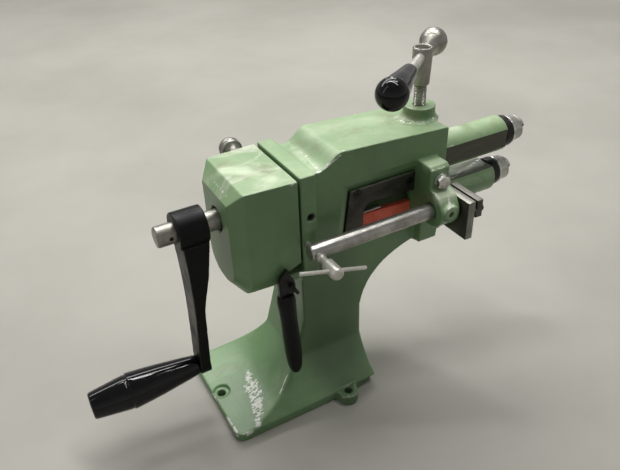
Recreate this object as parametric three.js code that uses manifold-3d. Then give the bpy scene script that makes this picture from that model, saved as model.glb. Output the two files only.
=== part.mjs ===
// Hand-cranked bench bead roller (swaging machine).
// Millimetres. X runs along the two shafts towards the roller noses, -Y is the
// working side with the stop rod, +Z is up, and Z = 0 is the underside of the base.
// X = 0 is the joint between the gear cover and the casting.
import * as THREE from 'three';
import { mergeVertices } from 'three/addons/utils/BufferGeometryUtils.js';
import Module from 'manifold-3d';

const wasm = await Module();
wasm.setup();

// Gaps: between parts that touch, and between parts that turn or slide
const SEAT = 0.3;
const RUN = 0.3;

// Shaft lines
const LOWER_Z = 228;
const SHAFT_DISTANCE = 60;
const UPPER_Z = LOWER_Z + SHAFT_DISTANCE;
const SHAFT_R = 12.7;
const BUSH_WALL = 2.7;
const BUSH_LENGTH = 30;

// Casting: flange, neck and block, with heights above the upper shaft and below the lower one
const GROOVE = 1.5;
const FLANGE_THICK = 20;
const FLANGE_RISE = 55;
const FLANGE_DROP = 36;
const FLANGE_FRONT = -57;
const FLANGE_BACK = 55;
const FLANGE_CORNER_R = 20;
const BLOCK_HALF = 45;
const BLOCK_END = 219;
const BLOCK_RISE = 66;
const BLOCK_TOP_FALL = 8;
const BLOCK_DROP = 32;
const BLOCK_TOP_X = 64;
const NECK_RISE = 48.5;
const NECK_RAMP = 32;
const WALL = 9;
const CHANNEL_RISE = 32;
const CHANNEL_SHELF = 20;
const ARM_SIDE_GAP = 2;
const ARM_DROP_ROOM = 7.5;
const ARM_BOSS_R = 33;
const ARM_BOSS_LENGTH = 5;
const FLANGE_TOP_Z = UPPER_Z + FLANGE_RISE;
const FLANGE_BOTTOM_Z = LOWER_Z - FLANGE_DROP;
const BLOCK_TOP_Z = UPPER_Z + BLOCK_RISE;
const BLOCK_BOTTOM_Z = LOWER_Z - BLOCK_DROP;
const BLOCK_END_TOP_Z = BLOCK_TOP_Z - BLOCK_TOP_FALL;
const NECK_Z = UPPER_Z + NECK_RISE;
const CHANNEL_ROOF_Z = UPPER_Z + CHANNEL_RISE;

// Casting: throat curve from the column up to the block
const THROAT_HEIGHT = 76;
const THROAT_LENGTH = 77.5;
const THROAT_LEAN = 6;
const THROAT_PULL_X = 44;
const THROAT_PULL_Z = 11;
const THROAT_STEP = 2;

// Casting: column and base
const COLUMN_X = 4;
const COLUMN_BACK_X = 91.5;
const COLUMN_CORNER_R = 4;
const COLUMN_OVERLAP = 20;
const FLARE_LENGTH = 122;
const FLARE_HEIGHT = 112;
const FLARE_SIDE = 38.5;
const FLARE_SIDE_HEIGHT = 55;
const BASE_THICK = 13;
const BASE_X0 = -118.6;
const BASE_X1 = 93.8;
const BASE_HALF = 83.5;
const BASE_END_HALF = 76;
const BASE_CORNER_R = 12;
const BASE_END_CORNER_R = 9;
const BASE_END_TAPER = 33.8;
const EAR_X = 43.7;
const EAR_OUT = 6.1;
const EAR_R = 14;
const EAR_FOOT = 6;
const EAR_THICK = 16;
const EAR_Y = BASE_HALF + EAR_OUT;
const BOLT_HOLE_R = 5.6;
const SPOT_R = 10;
const SPOT_DEPTH = 1.5;
const END_HOLE_IN = 11.6;
const END_HOLE_X = BASE_X0 + END_HOLE_IN;

// Arms and roller noses
const ARM_R = 25;
const UPPER_ARM_OUT = 128;
const LOWER_ARM_OUT = 113;
const LOWER_ARM_IN = 109;
const UPPER_ARM_END = BLOCK_END + UPPER_ARM_OUT;
const LOWER_ARM_END = BLOCK_END + LOWER_ARM_OUT;
const LOWER_ARM_START = BLOCK_END - LOWER_ARM_IN;
const UPPER_FLAT_HALF = 21.3;
const LOWER_FLAT_Z = 17.5;
const COLLAR_LENGTH = 14;
const COLLAR_EDGE = 1.5;
const UPPER_COLLAR_R = 22;
const LOWER_COLLAR_R = 20.5;
const NOSE_R = 17;
const NOSE_LENGTH = 26;
const NOSE_EDGE = 3;
const NOSE_SLOT = 8;
const NOSE_SLOT_DEPTH = 5;
const NOSE_BORE_R = 5;

// Gears
const MODULE = 3;
const TEETH = Math.round(SHAFT_DISTANCE / MODULE);
const GEAR_WIDTH = 18;
const GEAR_X = -24;
const GEAR_HUB_R = 20;
const PRESSURE_ANGLE = 20;
const ADDENDUM = 2.6;
const DEDENDUM = 4.4;
const BACKLASH = 0.9;
const KEY = 6;
const GEAR_RING_WIDTH = 10;
const GEAR_RING_WALL = 7;
const GEAR_NUT_THICK = 9;
const GEAR_NUT_WALL = 6;
const LOWER_SHAFT_TAIL = 14;

// Gear cover, with heights above the upper shaft and below the lower one
const COVER_LENGTH = 80.4;
const COVER_STRAIGHT = 65.6;
const COVER_WALL = 4;
const COVER_RISE = 52;
const COVER_DROP = 39.5;
const COVER_HALF = 57;
const COVER_TAPER = 4;
const COVER_CORNER_R = 38;
const COVER_END_HALF = 36;
const COVER_END_RISE = 34;
const COVER_END_DROP = 23;
const COVER_HOLE_R = 16;
const COVER_RELIEF_X = -32.5;
const COVER_RELIEF_Y = -38;
const COVER_RELIEF_DROP = 13;
const COVER_RELIEF_SLOPE = 14;
const COVER_RELIEF_LIP = 3;
const COVER_RIM_DEPTH = 4;
const COVER_RIM_THICK = 5;
const COVER_RIM_BELOW = 45;
const COVER_TOP_Z = UPPER_Z + COVER_RISE;
const COVER_BOTTOM_Z = LOWER_Z - COVER_DROP;
const COVER_END_TOP_Z = UPPER_Z + COVER_END_RISE;
const COVER_END_BOTTOM_Z = LOWER_Z - COVER_END_DROP;
const COVER_RELIEF_Z = LOWER_Z - COVER_RELIEF_DROP;

// Upper arm pivot
const PIVOT_X = 14;
const PIVOT_R = 5;
const PIVOT_INSET = 3;
const PIVOT_SOCKET_R = 2.9;

// Pressure screw and its handle
const SCREW_FROM_END = 13;
const SCREW_X = BLOCK_END - SCREW_FROM_END;
const SCREW_R = 8;
const BOSS_R = 20.5;
const BOSS_RISE = 10;
const BOSS_FOOT = 6;
const BOSS_EDGE = 1;
const SHOE_R = 11;
const SHOE_THICK = 9.6;
const SHOE_ROOM = 9;
const THREAD_SHOWN = 26;
const HEAD_LENGTH = 47;
const HEAD_R = 12.5;
const HEAD_FOOT_R = 10.4;
const HEAD_BAND = 14;
const BOSS_TOP_Z = BLOCK_TOP_Z + BOSS_RISE;
const HEAD_Z = BOSS_TOP_Z + THREAD_SHOWN;
const HANDLE_UP = 36.5;
const HANDLE_Z = HEAD_Z + HANDLE_UP;
const HANDLE_R = 6;
const HANDLE_ANGLE = -140.8;
const HANDLE_RISE = 0.02;
const GRIP_START = 64;
const GRIP_BALL = 138;
const GRIP_BALL_R = 18.8;
const GRIP_SOCKET = 35;
const WEIGHT_BALL = 59.7;
const WEIGHT_BALL_R = 17.5;
const WEIGHT_SOCKET = 5;

// Stop rod, its lug and the stop plates
const LUG_FROM_END = 16;
const LUG_WIDTH = 29;
const LUG_X1 = BLOCK_END - LUG_FROM_END;
const LUG_X0 = LUG_X1 - LUG_WIDTH;
const LUG_RISE = 24;
const LUG_CORNER = 6;
const LUG_TOP_Z = UPPER_Z + LUG_RISE;
const ROD_R = 10;
const ROD_OUT = 30.9;
const ROD_RISE = 26.5;
const ROD_START = -0.7;
const ROD_PAST_LUG = 1.7;
const ROD_Y = -BLOCK_HALF - ROD_OUT;
const ROD_Z = LOWER_Z + ROD_RISE;
const ROD_END = LUG_X1 + ROD_PAST_LUG;
const LUG_WALL = 12.1;
const LUG_FRONT_Y = ROD_Y - ROD_R - LUG_WALL;
const GUIDE_BOLT_IN = 15;
const GUIDE_BOLT_X = LUG_X0 + GUIDE_BOLT_IN;
const GUIDE_BOLT_UP = 4;
const GUIDE_BOLT_Z = UPPER_Z + GUIDE_BOLT_UP;
const GUIDE_SEAT_Y = -72;
const GUIDE_BOLT_R = 5;
const HEX_ACROSS = 17;
const HEX_THICK = 7;
const WASHER_R = 9.6;
const WASHER_THICK = 1.8;
const CLAMP_IN = 14;
const CLAMP_X = LUG_X0 + CLAMP_IN;
const CLAMP_UP = 2;
const CLAMP_Z = ROD_Z + CLAMP_UP;
const CLAMP_PROUD = 3;
const CLAMP_FACE_Y = LUG_FRONT_Y - CLAMP_PROUD;
const CLAMP_BOSS_R = 12;
const CLAMP_BOSS_LENGTH = 18;
const CLAMP_SCREW_R = 3.5;
const CLAMP_SCREW_IN = 6;
const STOP_THICK = 11;
const STOP_GAP = 1;
const STOP_EDGE = 2;
const STOP_RISE = 17.5;
const STOP_BLOCK_DROP = 36.5;
const STOP_PLATE_DROP = 7.5;
const STOP_OUT = 34.6;
const STOP_IN = 16.9;
const STOP_SCREW_SPACING = 26;
const STOP_SCREW_R = 3;
const STOP_SCREW_HEAD_R = 5;
const STOP_SCREW_HEAD = 6;

// Clamping screw with its cross bar
const T_X = 6.5;
const T_THREAD_R = 4;
const T_SHOULDER = 1.5;
const T_HEAD_R = 8;
const T_HEAD_OUT = 29.1;
const T_HEAD_LENGTH = 25;
const T_HEAD_Y = ROD_Y - T_HEAD_OUT;
const T_END_Y = T_HEAD_Y - T_HEAD_LENGTH;
const T_BAR_R = 2.25;
const T_BAR_LENGTH = 89;
const T_BAR_TILT = 13.4;
const T_BAR_PLACE = 14;

// Window in the front wall
const WINDOW_RISE = 15;
const WINDOW_DROP = 8;
const WINDOW_BEVEL = 9;
const WINDOW_X0 = 74;
const WINDOW_LEAN = 10;
const WINDOW_TOP_Z = UPPER_Z + WINDOW_RISE;
const WINDOW_BOTTOM_Z = LOWER_Z - WINDOW_DROP;
const PLATE_THICK = 5;
const PLATE_MARGIN = 7;
const PLATE_TOP_Z = WINDOW_TOP_Z - PLATE_MARGIN;
const PLATE_SETBACK = 4;
const PLATE_CORNER_R = 14;
const PLATE_SCREW_R = 3;
const PLATE_SCREW_HEAD_R = 6;
const PLATE_SCREW_LENGTH = 13;
const OPENING_X0 = 99;
const OPENING_BELOW = 17;
const OPENING_SILL = 6;
const OPENING_Z1 = UPPER_Z - OPENING_BELOW;
const OPENING_Z0 = WINDOW_BOTTOM_Z + OPENING_SILL;
const BAR_UP = 6;
const BAR_Z = OPENING_Z0 + BAR_UP;
const BAR_HEIGHT = 21;
const BAR_FALL = 4;
const STRIP_LENGTH = 26;
const STRIP_THICK = 2.4;

// Alignment lever
const LEVER_X = -21;
const LEVER_DROP = 19;
const LEVER_Z = LOWER_Z - LEVER_DROP;
const LEVER_PIN_R = 3.2;
const LEVER_PIN_PROUD = 16;
const LEVER_PIN_IN = 8;
const LEVER_BOSS_R = 6;
const LEVER_BOSS_ROOT = 12;
const LEVER_Y = -62.5;
const LEVER_THICK = 7;
const LEVER_RISE = 23;
const LEVER_TOP_R = 2.5;
const LEVER_WIDTH = 20.5;
const LEVER_HEEL = 20;
const LEVER_HEEL_Z = -26;
const LEVER_FOOT_Z = 62;
const LEVER_BLADE = 37;
const LEVER_LENGTH = LEVER_Z - LEVER_FOOT_Z;
const LEVER_LEAN = 3.5;
const LEVER_OFFSET = 8;
const LEVER_GRIP_R = 11.2;
const LEVER_GRIP_LENGTH = LEVER_LENGTH - LEVER_BLADE;
const LEVER_TONGUE = 42;
const LEVER_TONGUE_HALF = 7;

// Crank
const CRANK_RADIUS = 208;
const CRANK_HUB_X = -133;
const CRANK_HUB_LENGTH = 36;
const CRANK_HUB_R = 23;
const CRANK_HUB_EDGE = 1.5;
const CRANK_EYE_R = 14;
const CRANK_EYE_THICK = 15;
const CRANK_THIN = 12.5;
const CRANK_DISH = 4.5;
const SHAFT_STUB = 22;
const SHAFT_EDGE = 1.5;
const SHAFT_END_X = CRANK_HUB_X - SHAFT_STUB;
const CROSS_HOLE_R = 2.5;
const GRIP_LENGTH = 139;
const GRIP_NECK_R = 13;
const GRIP_RING = 90;
const GRIP_RING_R = 23.5;
const GRIP_RING_WIDTH = 4;
const GRIP_END_R = 17;
const GRIP_END_HOLLOW = 8;
const GRIP_PIN_R = 6;
const GRIP_PIN_HEAD = 3;

// Cover knob
const KNOB_X = -22;
const KNOB_RISE = 39;
const KNOB_Z = UPPER_Z + KNOB_RISE;
const KNOB_R = 14;
const KNOB_FOOT_R = 9;
const KNOB_SHANK_R = 4;
const KNOB_FOOT_LENGTH = 6;
const KNOB_NECK_LENGTH = 12;
const KNOB_LENGTH = 38;
const KNOB_LUG_HALF = 8;

// Lift spring under the upper arm
const SPRING_X = 62;
const SPRING_R = 9;
const SPRING_WIRE_R = 1.5;
const SPRING_TURNS = 3;
const SPRING_FLOOR_UP = 18;
const SPRING_FLOOR_Z = LOWER_Z + SPRING_FLOOR_UP;

const UP = new THREE.Vector3(0, 0, 1);
const ALONG_X = [1, 0, 0];
const TO_FRONT = [0, -1, 0];
const TO_BACK = [0, 1, 0];
const DOWN = [0, 0, -1];

function finish(color, roughness, metalness) {
  return () => new THREE.MeshStandardMaterial({ color, roughness, metalness });
}

const greenPaint = finish(0x6f8f6c, 0.45, 0.1);
const blackPaint = finish(0x1c1a1e, 0.4, 0.2);
const blackPlastic = finish(0x0c0b0d, 0.2, 0.0);
const blackSteel = finish(0x1d1b1e, 0.45, 0.7);
const brightSteel = finish(0xb9b7b4, 0.3, 1.0);
const darkSteel = finish(0x4b464b, 0.45, 0.9);
const bronze = finish(0xa5793c, 0.4, 1.0);
const redPaint = finish(0xb5301f, 0.5, 0.1);

// A closed mesh as a solid that can be joined and cut
function solid(geometry) {
  const bare = geometry.clone();
  bare.deleteAttribute('normal');
  bare.deleteAttribute('uv');
  const welded = mergeVertices(bare, 1e-4);
  const corners = welded.index.array;
  const kept = [];
  for (let i = 0; i < corners.length; i += 3) {
    const triangle = corners.slice(i, i + 3);
    if (new Set(triangle).size === 3) {
      kept.push(...triangle);
    }
  }
  return new wasm.Manifold(new wasm.Mesh({
    numProp: 3,
    vertProperties: welded.attributes.position.array,
    triVerts: new Uint32Array(kept),
  }));
}

function surface(body) {
  const mesh = body.getMesh();
  const geometry = new THREE.BufferGeometry();
  geometry.setAttribute('position', new THREE.BufferAttribute(mesh.vertProperties, 3));
  geometry.setIndex(new THREE.BufferAttribute(mesh.triVerts, 1));
  return geometry;
}

function joined(...geometries) {
  return geometries.map(solid).reduce((body, next) => body.add(next));
}

function cut(body, ...cutters) {
  return cutters.map(solid).reduce((rest, cutter) => rest.subtract(cutter), body);
}

// Moves a geometry made along +Z so that it starts at a point and runs in a direction
function aimed(geometry, at, direction) {
  const turn = new THREE.Quaternion().setFromUnitVectors(UP, new THREE.Vector3(...direction).normalize());
  return geometry.applyQuaternion(turn).translate(...at);
}

// A solid of revolution about Z; the profile is a list of [radius, height]
function turned(profile, sides = 24) {
  const points = profile.map(([radius, height]) => new THREE.Vector2(radius, height));
  return new THREE.LatheGeometry(points, sides).rotateX(Math.PI / 2);
}

function rod(radius, length, sides = 20) {
  return turned([[0, 0], [radius, 0], [radius, length], [0, length]], sides);
}

function tube(outer, inner, length, sides = 20) {
  return turned([[inner, 0], [outer, 0], [outer, length], [inner, length], [inner, 0]], sides);
}

function box(x0, x1, y0, y1, z0, z1) {
  const block = new THREE.BoxGeometry(x1 - x0, y1 - y0, z1 - z0);
  return block.translate((x0 + x1) / 2, (y0 + y1) / 2, (z0 + z1) / 2);
}

const AXES = {
  x: new THREE.Matrix4().makeBasis(new THREE.Vector3(0, 1, 0), UP, new THREE.Vector3(1, 0, 0)),
  y: new THREE.Matrix4().makeBasis(new THREE.Vector3(1, 0, 0), UP, new THREE.Vector3(0, -1, 0)),
  z: new THREE.Matrix4(),
};

// An outline drawn across an axis and extruded along it from one place to another
function extruded(outline, axis, from, to, curveSegments = 8) {
  const shape = Array.isArray(outline) ? shapeOf(outline) : outline;
  const geometry = new THREE.ExtrudeGeometry(shape, { depth: to - from, bevelEnabled: false, curveSegments });
  geometry.applyMatrix4(AXES[axis]);
  const shift = { x: [from, 0, 0], y: [0, to, 0], z: [0, 0, from] }[axis];
  return geometry.translate(...shift);
}

function shapeOf(points) {
  return new THREE.Shape(points.map(([a, b]) => new THREE.Vector2(a, b)));
}

// Closed rings of equal point count joined into one solid, ends capped by fans
function lofted(rings) {
  const count = rings[0].length;
  const vertices = rings.flat(2);
  const faces = [];
  for (let ring = 0; ring + 1 < rings.length; ring += 1) {
    for (let i = 0; i < count; i += 1) {
      const a = ring * count + i;
      const b = ring * count + (i + 1) % count;
      faces.push(a, b, b + count, a, b + count, a + count);
    }
  }
  const top = (rings.length - 1) * count;
  for (let i = 1; i + 1 < count; i += 1) {
    faces.push(0, i + 1, i);
    faces.push(top, top + i, top + i + 1);
  }
  const geometry = new THREE.BufferGeometry();
  geometry.setAttribute('position', new THREE.Float32BufferAttribute(vertices, 3));
  geometry.setIndex(faces);
  return geometry;
}

// Points of an arc, as [a, b] pairs, by its centre, radius and two angles in degrees
function arc(centre, radius, from, to, steps) {
  const points = [];
  for (let i = 0; i <= steps; i += 1) {
    const angle = THREE.MathUtils.degToRad(from + (to - from) * i / steps);
    points.push([centre[0] + radius * Math.cos(angle), centre[1] + radius * Math.sin(angle)]);
  }
  return points;
}

function roundedRectangle(x0, x1, y0, y1, radius, steps = 3) {
  return [
    ...arc([x0 + radius, y0 + radius], radius, 180, 270, steps),
    ...arc([x1 - radius, y0 + radius], radius, 270, 360, steps),
    ...arc([x1 - radius, y1 - radius], radius, 0, 90, steps),
    ...arc([x0 + radius, y1 - radius], radius, 90, 180, steps),
  ];
}

function piece(name, geometry, material, at = [0, 0, 0], direction = [0, 0, 1]) {
  const mesh = new THREE.Mesh(geometry, material());
  mesh.name = name;
  mesh.position.set(...at);
  mesh.quaternion.setFromUnitVectors(UP, new THREE.Vector3(...direction).normalize());
  return mesh;
}

function groupOf(at, ...children) {
  const group = new THREE.Group();
  group.position.set(...at);
  group.add(...children);
  return group;
}

// Values that several pieces share
const BUSH_R = SHAFT_R + RUN + BUSH_WALL;
const ARM_BORE_R = BUSH_R + SEAT;
const FLANGE_X1 = GROOVE + FLANGE_THICK;
const FRONT_FACE_Y = -BLOCK_HALF;
const INNER_FACE_Y = -(BLOCK_HALF - WALL);
const ARM_START_X = GROOVE + 0.7;
const ARM_TOP_Z = UPPER_Z + ARM_R;
const GEAR_X1 = GEAR_X + GEAR_WIDTH;
const STOP_X0 = ROD_END + SEAT;
const STOP_X1 = STOP_X0 + STOP_THICK;
const STOP_X2 = STOP_X1 + STOP_GAP;
const LEVER_BOSS_Y = COVER_RELIEF_Y - COVER_RELIEF_LIP;
const KNOB_SEAT_Y = COVER_HALF + COVER_TAPER * (KNOB_X + KNOB_FOOT_R) / COVER_STRAIGHT + SEAT;
const LEVER_BACK_Y = LEVER_Y + LEVER_THICK / 2;
const LEVER_BOSS_LENGTH = LEVER_BOSS_Y - LEVER_BACK_Y - SEAT;

// Outline of the gear cover across the shafts, smaller by an inset all round
function coverOutline(half, top, bottom, corner, inset) {
  const side = half - inset;
  const radius = corner - inset;
  const floor = bottom + inset;
  const roof = top - inset;
  return [
    ...arc([side - radius, floor + radius], radius, 0, -90, 6),
    ...arc([radius - side, floor + radius], radius, -90, -180, 6),
    [-side, roof],
    [side, roof],
  ].reverse();
}

function coverShell(inset, mouthX) {
  const wide = coverOutline(COVER_HALF, COVER_TOP_Z, COVER_BOTTOM_Z, COVER_CORNER_R, inset);
  const shoulder = coverOutline(COVER_HALF - COVER_TAPER, COVER_TOP_Z, COVER_BOTTOM_Z, COVER_CORNER_R, inset);
  const cornerEnd = COVER_END_HALF * 0.85;
  const end = coverOutline(COVER_END_HALF, COVER_END_TOP_Z, COVER_END_BOTTOM_Z, cornerEnd, inset);
  const places = [[-COVER_LENGTH + inset, end], [-COVER_STRAIGHT, shoulder], [mouthX, wide]];
  return lofted(places.map(([x, outline]) => outline.map(([y, z]) => [x, y, z])));
}

// The corner that the cover leaves free for the alignment lever's boss
function coverRelief(grow) {
  const low = COVER_BOTTOM_Z - 10;
  const high = COVER_RELIEF_Z + grow;
  const inner = high + COVER_RELIEF_SLOPE;
  const outline = [
    [COVER_RELIEF_X - grow, low],
    [GROOVE + 1, low],
    [GROOVE + 1, inner],
    [-COVER_RELIEF_LIP, inner],
    [COVER_RELIEF_X - grow, high],
  ];
  return extruded(outline, 'y', -COVER_HALF - 1, COVER_RELIEF_Y + grow);
}

function gearCover() {
  const outside = cut(solid(coverShell(0, 0)), coverRelief(0));
  const inside = cut(solid(coverShell(COVER_WALL, 1)), coverRelief(COVER_WALL));
  const shaftHole = aimed(rod(COVER_HOLE_R, COVER_LENGTH), [-COVER_LENGTH - 1, 0, UPPER_Z], ALONG_X);
  const knobHole = aimed(rod(KNOB_SHANK_R + SEAT, COVER_HALF, 16), [KNOB_X, COVER_END_HALF, KNOB_Z], TO_BACK);
  return surface(cut(outside.subtract(inside), shaftHole, knobHole));
}

// Half the angle that a tooth takes at a radius, on an involute flank
function toothHalfAngle(radius) {
  const pitch = MODULE * TEETH / 2;
  const base = pitch * Math.cos(THREE.MathUtils.degToRad(PRESSURE_ANGLE));
  const involute = (r) => {
    const angle = Math.acos(Math.min(1, base / r));
    return Math.tan(angle) - angle;
  };
  const width = Math.PI * MODULE / 2 - BACKLASH / 2;
  return width / (2 * pitch) + involute(pitch) - involute(Math.max(radius, base));
}

function gearOutline(phase) {
  const pitch = MODULE * TEETH / 2;
  const radii = [pitch - DEDENDUM, pitch, pitch + ADDENDUM];
  const points = [];
  for (let tooth = 0; tooth < TEETH; tooth += 1) {
    const middle = 2 * Math.PI * (tooth + phase) / TEETH;
    const rising = radii.map((radius) => [radius, middle - toothHalfAngle(radius)]);
    const falling = radii.map((radius) => [radius, middle + toothHalfAngle(radius)]).reverse();
    for (const [radius, angle] of [...rising, ...falling]) {
      points.push([radius * Math.cos(angle), radius * Math.sin(angle)]);
    }
  }
  return points;
}

// Spur gear with its hub, bore and keyway, along +Z from its outer face
function gear(phase) {
  const hubEnd = GROOVE - SEAT - GEAR_X;
  const blank = joined(
    extruded(gearOutline(phase), 'z', 0, GEAR_WIDTH),
    aimed(rod(GEAR_HUB_R, hubEnd - GEAR_WIDTH + 2), [0, 0, GEAR_WIDTH - 2], [0, 0, 1]),
  );
  const bore = rod(SHAFT_R + SEAT, hubEnd + 2).translate(0, 0, -1);
  const keyway = keySeat(SHAFT_R + KEY / 2 + SEAT, -1, hubEnd + 1, SEAT);
  return surface(cut(blank, bore, keyway));
}

// Room for a key that lies on the side of a shaft, in the shaft's own frame
function keySeat(top, from, to, gap) {
  return box(SHAFT_R - KEY / 2 - gap, top, -KEY / 2 - gap, KEY / 2 + gap, from, to);
}

function keyPiece(length) {
  return keySeat(SHAFT_R + KEY / 2, 0, length, 0);
}

// Shaft along +Z with its nose, the nose's slot and bore, and its key seats
function shaft(start, noseStart, keySeats) {
  const noseEnd = noseStart + NOSE_LENGTH;
  const blank = solid(turned([
    [0, start],
    [SHAFT_R - SHAFT_EDGE, start],
    [SHAFT_R, start + SHAFT_EDGE],
    [SHAFT_R, noseStart],
    [NOSE_R, noseStart],
    [NOSE_R, noseEnd - NOSE_EDGE],
    [NOSE_R - NOSE_EDGE, noseEnd],
    [0, noseEnd],
  ], 24));
  const half = NOSE_SLOT / 2;
  const slot = box(-half, half, -NOSE_R - 1, NOSE_R + 1, noseEnd - NOSE_SLOT_DEPTH, noseEnd + 1);
  const bore = rod(NOSE_BORE_R, 2 * NOSE_SLOT_DEPTH, 16).translate(0, 0, noseEnd + 1 - 2 * NOSE_SLOT_DEPTH);
  const seats = keySeats.map(([from, to]) => keySeat(SHAFT_R + 1, from - SEAT, to + SEAT, SEAT));
  return cut(blank, slot, bore, ...seats);
}

const CRANK_KEY_X0 = CRANK_HUB_X + 4;
const CRANK_KEY_X1 = CRANK_HUB_X + CRANK_HUB_LENGTH - 4;
const GEAR_KEY_X0 = GEAR_X + 1;
const GEAR_KEY_X1 = GROOVE - 4;
const UPPER_NOSE_X = UPPER_ARM_END + COLLAR_LENGTH + 2 * SEAT;
const LOWER_NOSE_X = LOWER_ARM_END + COLLAR_LENGTH + 2 * SEAT;
const LOWER_SHAFT_X = GEAR_X - LOWER_SHAFT_TAIL;

function upperShaft() {
  const blank = shaft(SHAFT_END_X, UPPER_NOSE_X, [[CRANK_KEY_X0, CRANK_KEY_X1], [GEAR_KEY_X0, GEAR_KEY_X1]]);
  const crossHole = aimed(
    rod(CROSS_HOLE_R, 4 * SHAFT_R, 16),
    [0, 2 * SHAFT_R, CRANK_HUB_X - 2.5 * CROSS_HOLE_R],
    TO_FRONT,
  );
  return surface(cut(blank, crossHole));
}

function lowerShaft() {
  return surface(shaft(LOWER_SHAFT_X, LOWER_NOSE_X, [[GEAR_KEY_X0, GEAR_KEY_X1]]));
}

function collar(radius) {
  const bore = SHAFT_R + SEAT;
  return turned([
    [bore, 0],
    [radius, 0],
    [radius, COLLAR_LENGTH - COLLAR_EDGE],
    [radius - COLLAR_EDGE, COLLAR_LENGTH],
    [bore, COLLAR_LENGTH],
    [bore, 0],
  ], 24);
}

// Upper arm, drawn along +Z with its own axis at the origin of X and Y
function upperArm() {
  const blank = solid(tube(ARM_R, ARM_BORE_R, UPPER_ARM_END - ARM_START_X, 32));
  const flatStart = BLOCK_END + ARM_BOSS_LENGTH + 2 - ARM_START_X;
  const flatEnd = UPPER_ARM_END - ARM_START_X + 1;
  const pinHole = aimed(rod(PIVOT_R + RUN, 3 * ARM_R, 20), [0, 1.5 * ARM_R, PIVOT_X - ARM_START_X], TO_FRONT);
  return surface(cut(
    blank,
    box(-ARM_R, ARM_R, -ARM_R - 1, -UPPER_FLAT_HALF, flatStart, flatEnd),
    box(-ARM_R, ARM_R, UPPER_FLAT_HALF, ARM_R + 1, flatStart, flatEnd),
    pinHole,
  ));
}

// Lower arm: a tube with one flat milled on top outside the casting
function lowerArm() {
  const length = LOWER_ARM_END - LOWER_ARM_START;
  const flatStart = BLOCK_END + ARM_BOSS_LENGTH + 2 - LOWER_ARM_START;
  const blank = solid(tube(ARM_R, ARM_BORE_R, length, 32));
  return surface(cut(blank, box(-ARM_R - 1, -LOWER_FLAT_Z, -ARM_R, ARM_R, flatStart, length + 1)));
}

function bush() {
  return tube(BUSH_R, SHAFT_R + RUN, BUSH_LENGTH);
}

function lowerGearNut() {
  const radius = SHAFT_R + GEAR_NUT_WALL;
  const hexagon = new THREE.CylinderGeometry(radius, radius, GEAR_NUT_THICK, 6).rotateX(Math.PI / 2);
  const bore = rod(SHAFT_R + SEAT, 2 * GEAR_NUT_THICK).translate(0, 0, -GEAR_NUT_THICK);
  return surface(cut(solid(hexagon), bore));
}

// The set collar that keeps the upper gear on its shaft
function gearRing() {
  const ring = solid(tube(SHAFT_R + GEAR_RING_WALL, SHAFT_R + SEAT, GEAR_RING_WIDTH));
  const setScrew = rod(GEAR_RING_WIDTH / 4, 2 * GEAR_RING_WALL, 12);
  return surface(cut(ring, aimed(setScrew, [0, SHAFT_R - 2, GEAR_RING_WIDTH / 2], TO_BACK)));
}

// Column that flares out to the base, as sections from the base's top upwards
function columnX(z) {
  const rise = Math.min(1, Math.max(0, (FLARE_HEIGHT + BASE_THICK - z) / FLARE_HEIGHT));
  return COLUMN_X - FLARE_LENGTH * (1 - Math.sqrt(1 - rise * rise));
}

function columnHalf(z) {
  const rise = Math.max(0, (FLARE_SIDE_HEIGHT + BASE_THICK - z) / FLARE_SIDE_HEIGHT);
  return BLOCK_HALF + FLARE_SIDE * rise ** 1.3;
}

function columnBackX(z) {
  const rise = Math.max(0, (2 * BASE_THICK - z) / BASE_THICK);
  return COLUMN_BACK_X + (BASE_X1 - COLUMN_BACK_X) * rise;
}

function column(top) {
  const shares = [0.0005, 0.0134, 0.036, 0.08, 0.152, 0.241, 0.348, 0.491, 0.69, 0.87, 1];
  const flare = shares.map((share) => BASE_THICK + share * FLARE_HEIGHT);
  const heights = [...flare.filter((z) => z < top - 1), top];
  const rings = heights.map((z) => {
    const half = columnHalf(z);
    const outline = roundedRectangle(columnX(z), columnBackX(z), -half, half, COLUMN_CORNER_R, 2);
    return outline.map(([x, y]) => [x, y, z]);
  });
  return lofted(rings);
}

function basePlate() {
  const front = BASE_HALF - BASE_CORNER_R;
  const end = BASE_END_HALF - BASE_END_CORNER_R;
  const outline = [
    ...arc([BASE_X0 + BASE_CORNER_R, -front], BASE_CORNER_R, 180, 270, 4),
    [BASE_X1 - BASE_END_TAPER, -BASE_HALF],
    ...arc([BASE_X1 - BASE_END_CORNER_R, -end], BASE_END_CORNER_R, 290, 360, 3),
    ...arc([BASE_X1 - BASE_END_CORNER_R, end], BASE_END_CORNER_R, 0, 70, 3),
    [BASE_X1 - BASE_END_TAPER, BASE_HALF],
    ...arc([BASE_X0 + BASE_CORNER_R, front], BASE_CORNER_R, 90, 180, 4),
  ];
  return extruded(outline, 'z', 0, BASE_THICK);
}

function ear(side) {
  const root = BASE_HALF - 2 * EAR_FOOT;
  const outline = [
    [EAR_X - EAR_R - EAR_FOOT, side * root],
    ...arc([EAR_X, side * EAR_Y], EAR_R, side * 180, 0, 10),
    [EAR_X + EAR_R + EAR_FOOT, side * root],
  ];
  return extruded(outline, 'z', 0, EAR_THICK);
}

const THROAT_START_Z = BLOCK_BOTTOM_Z - THROAT_HEIGHT;

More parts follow.
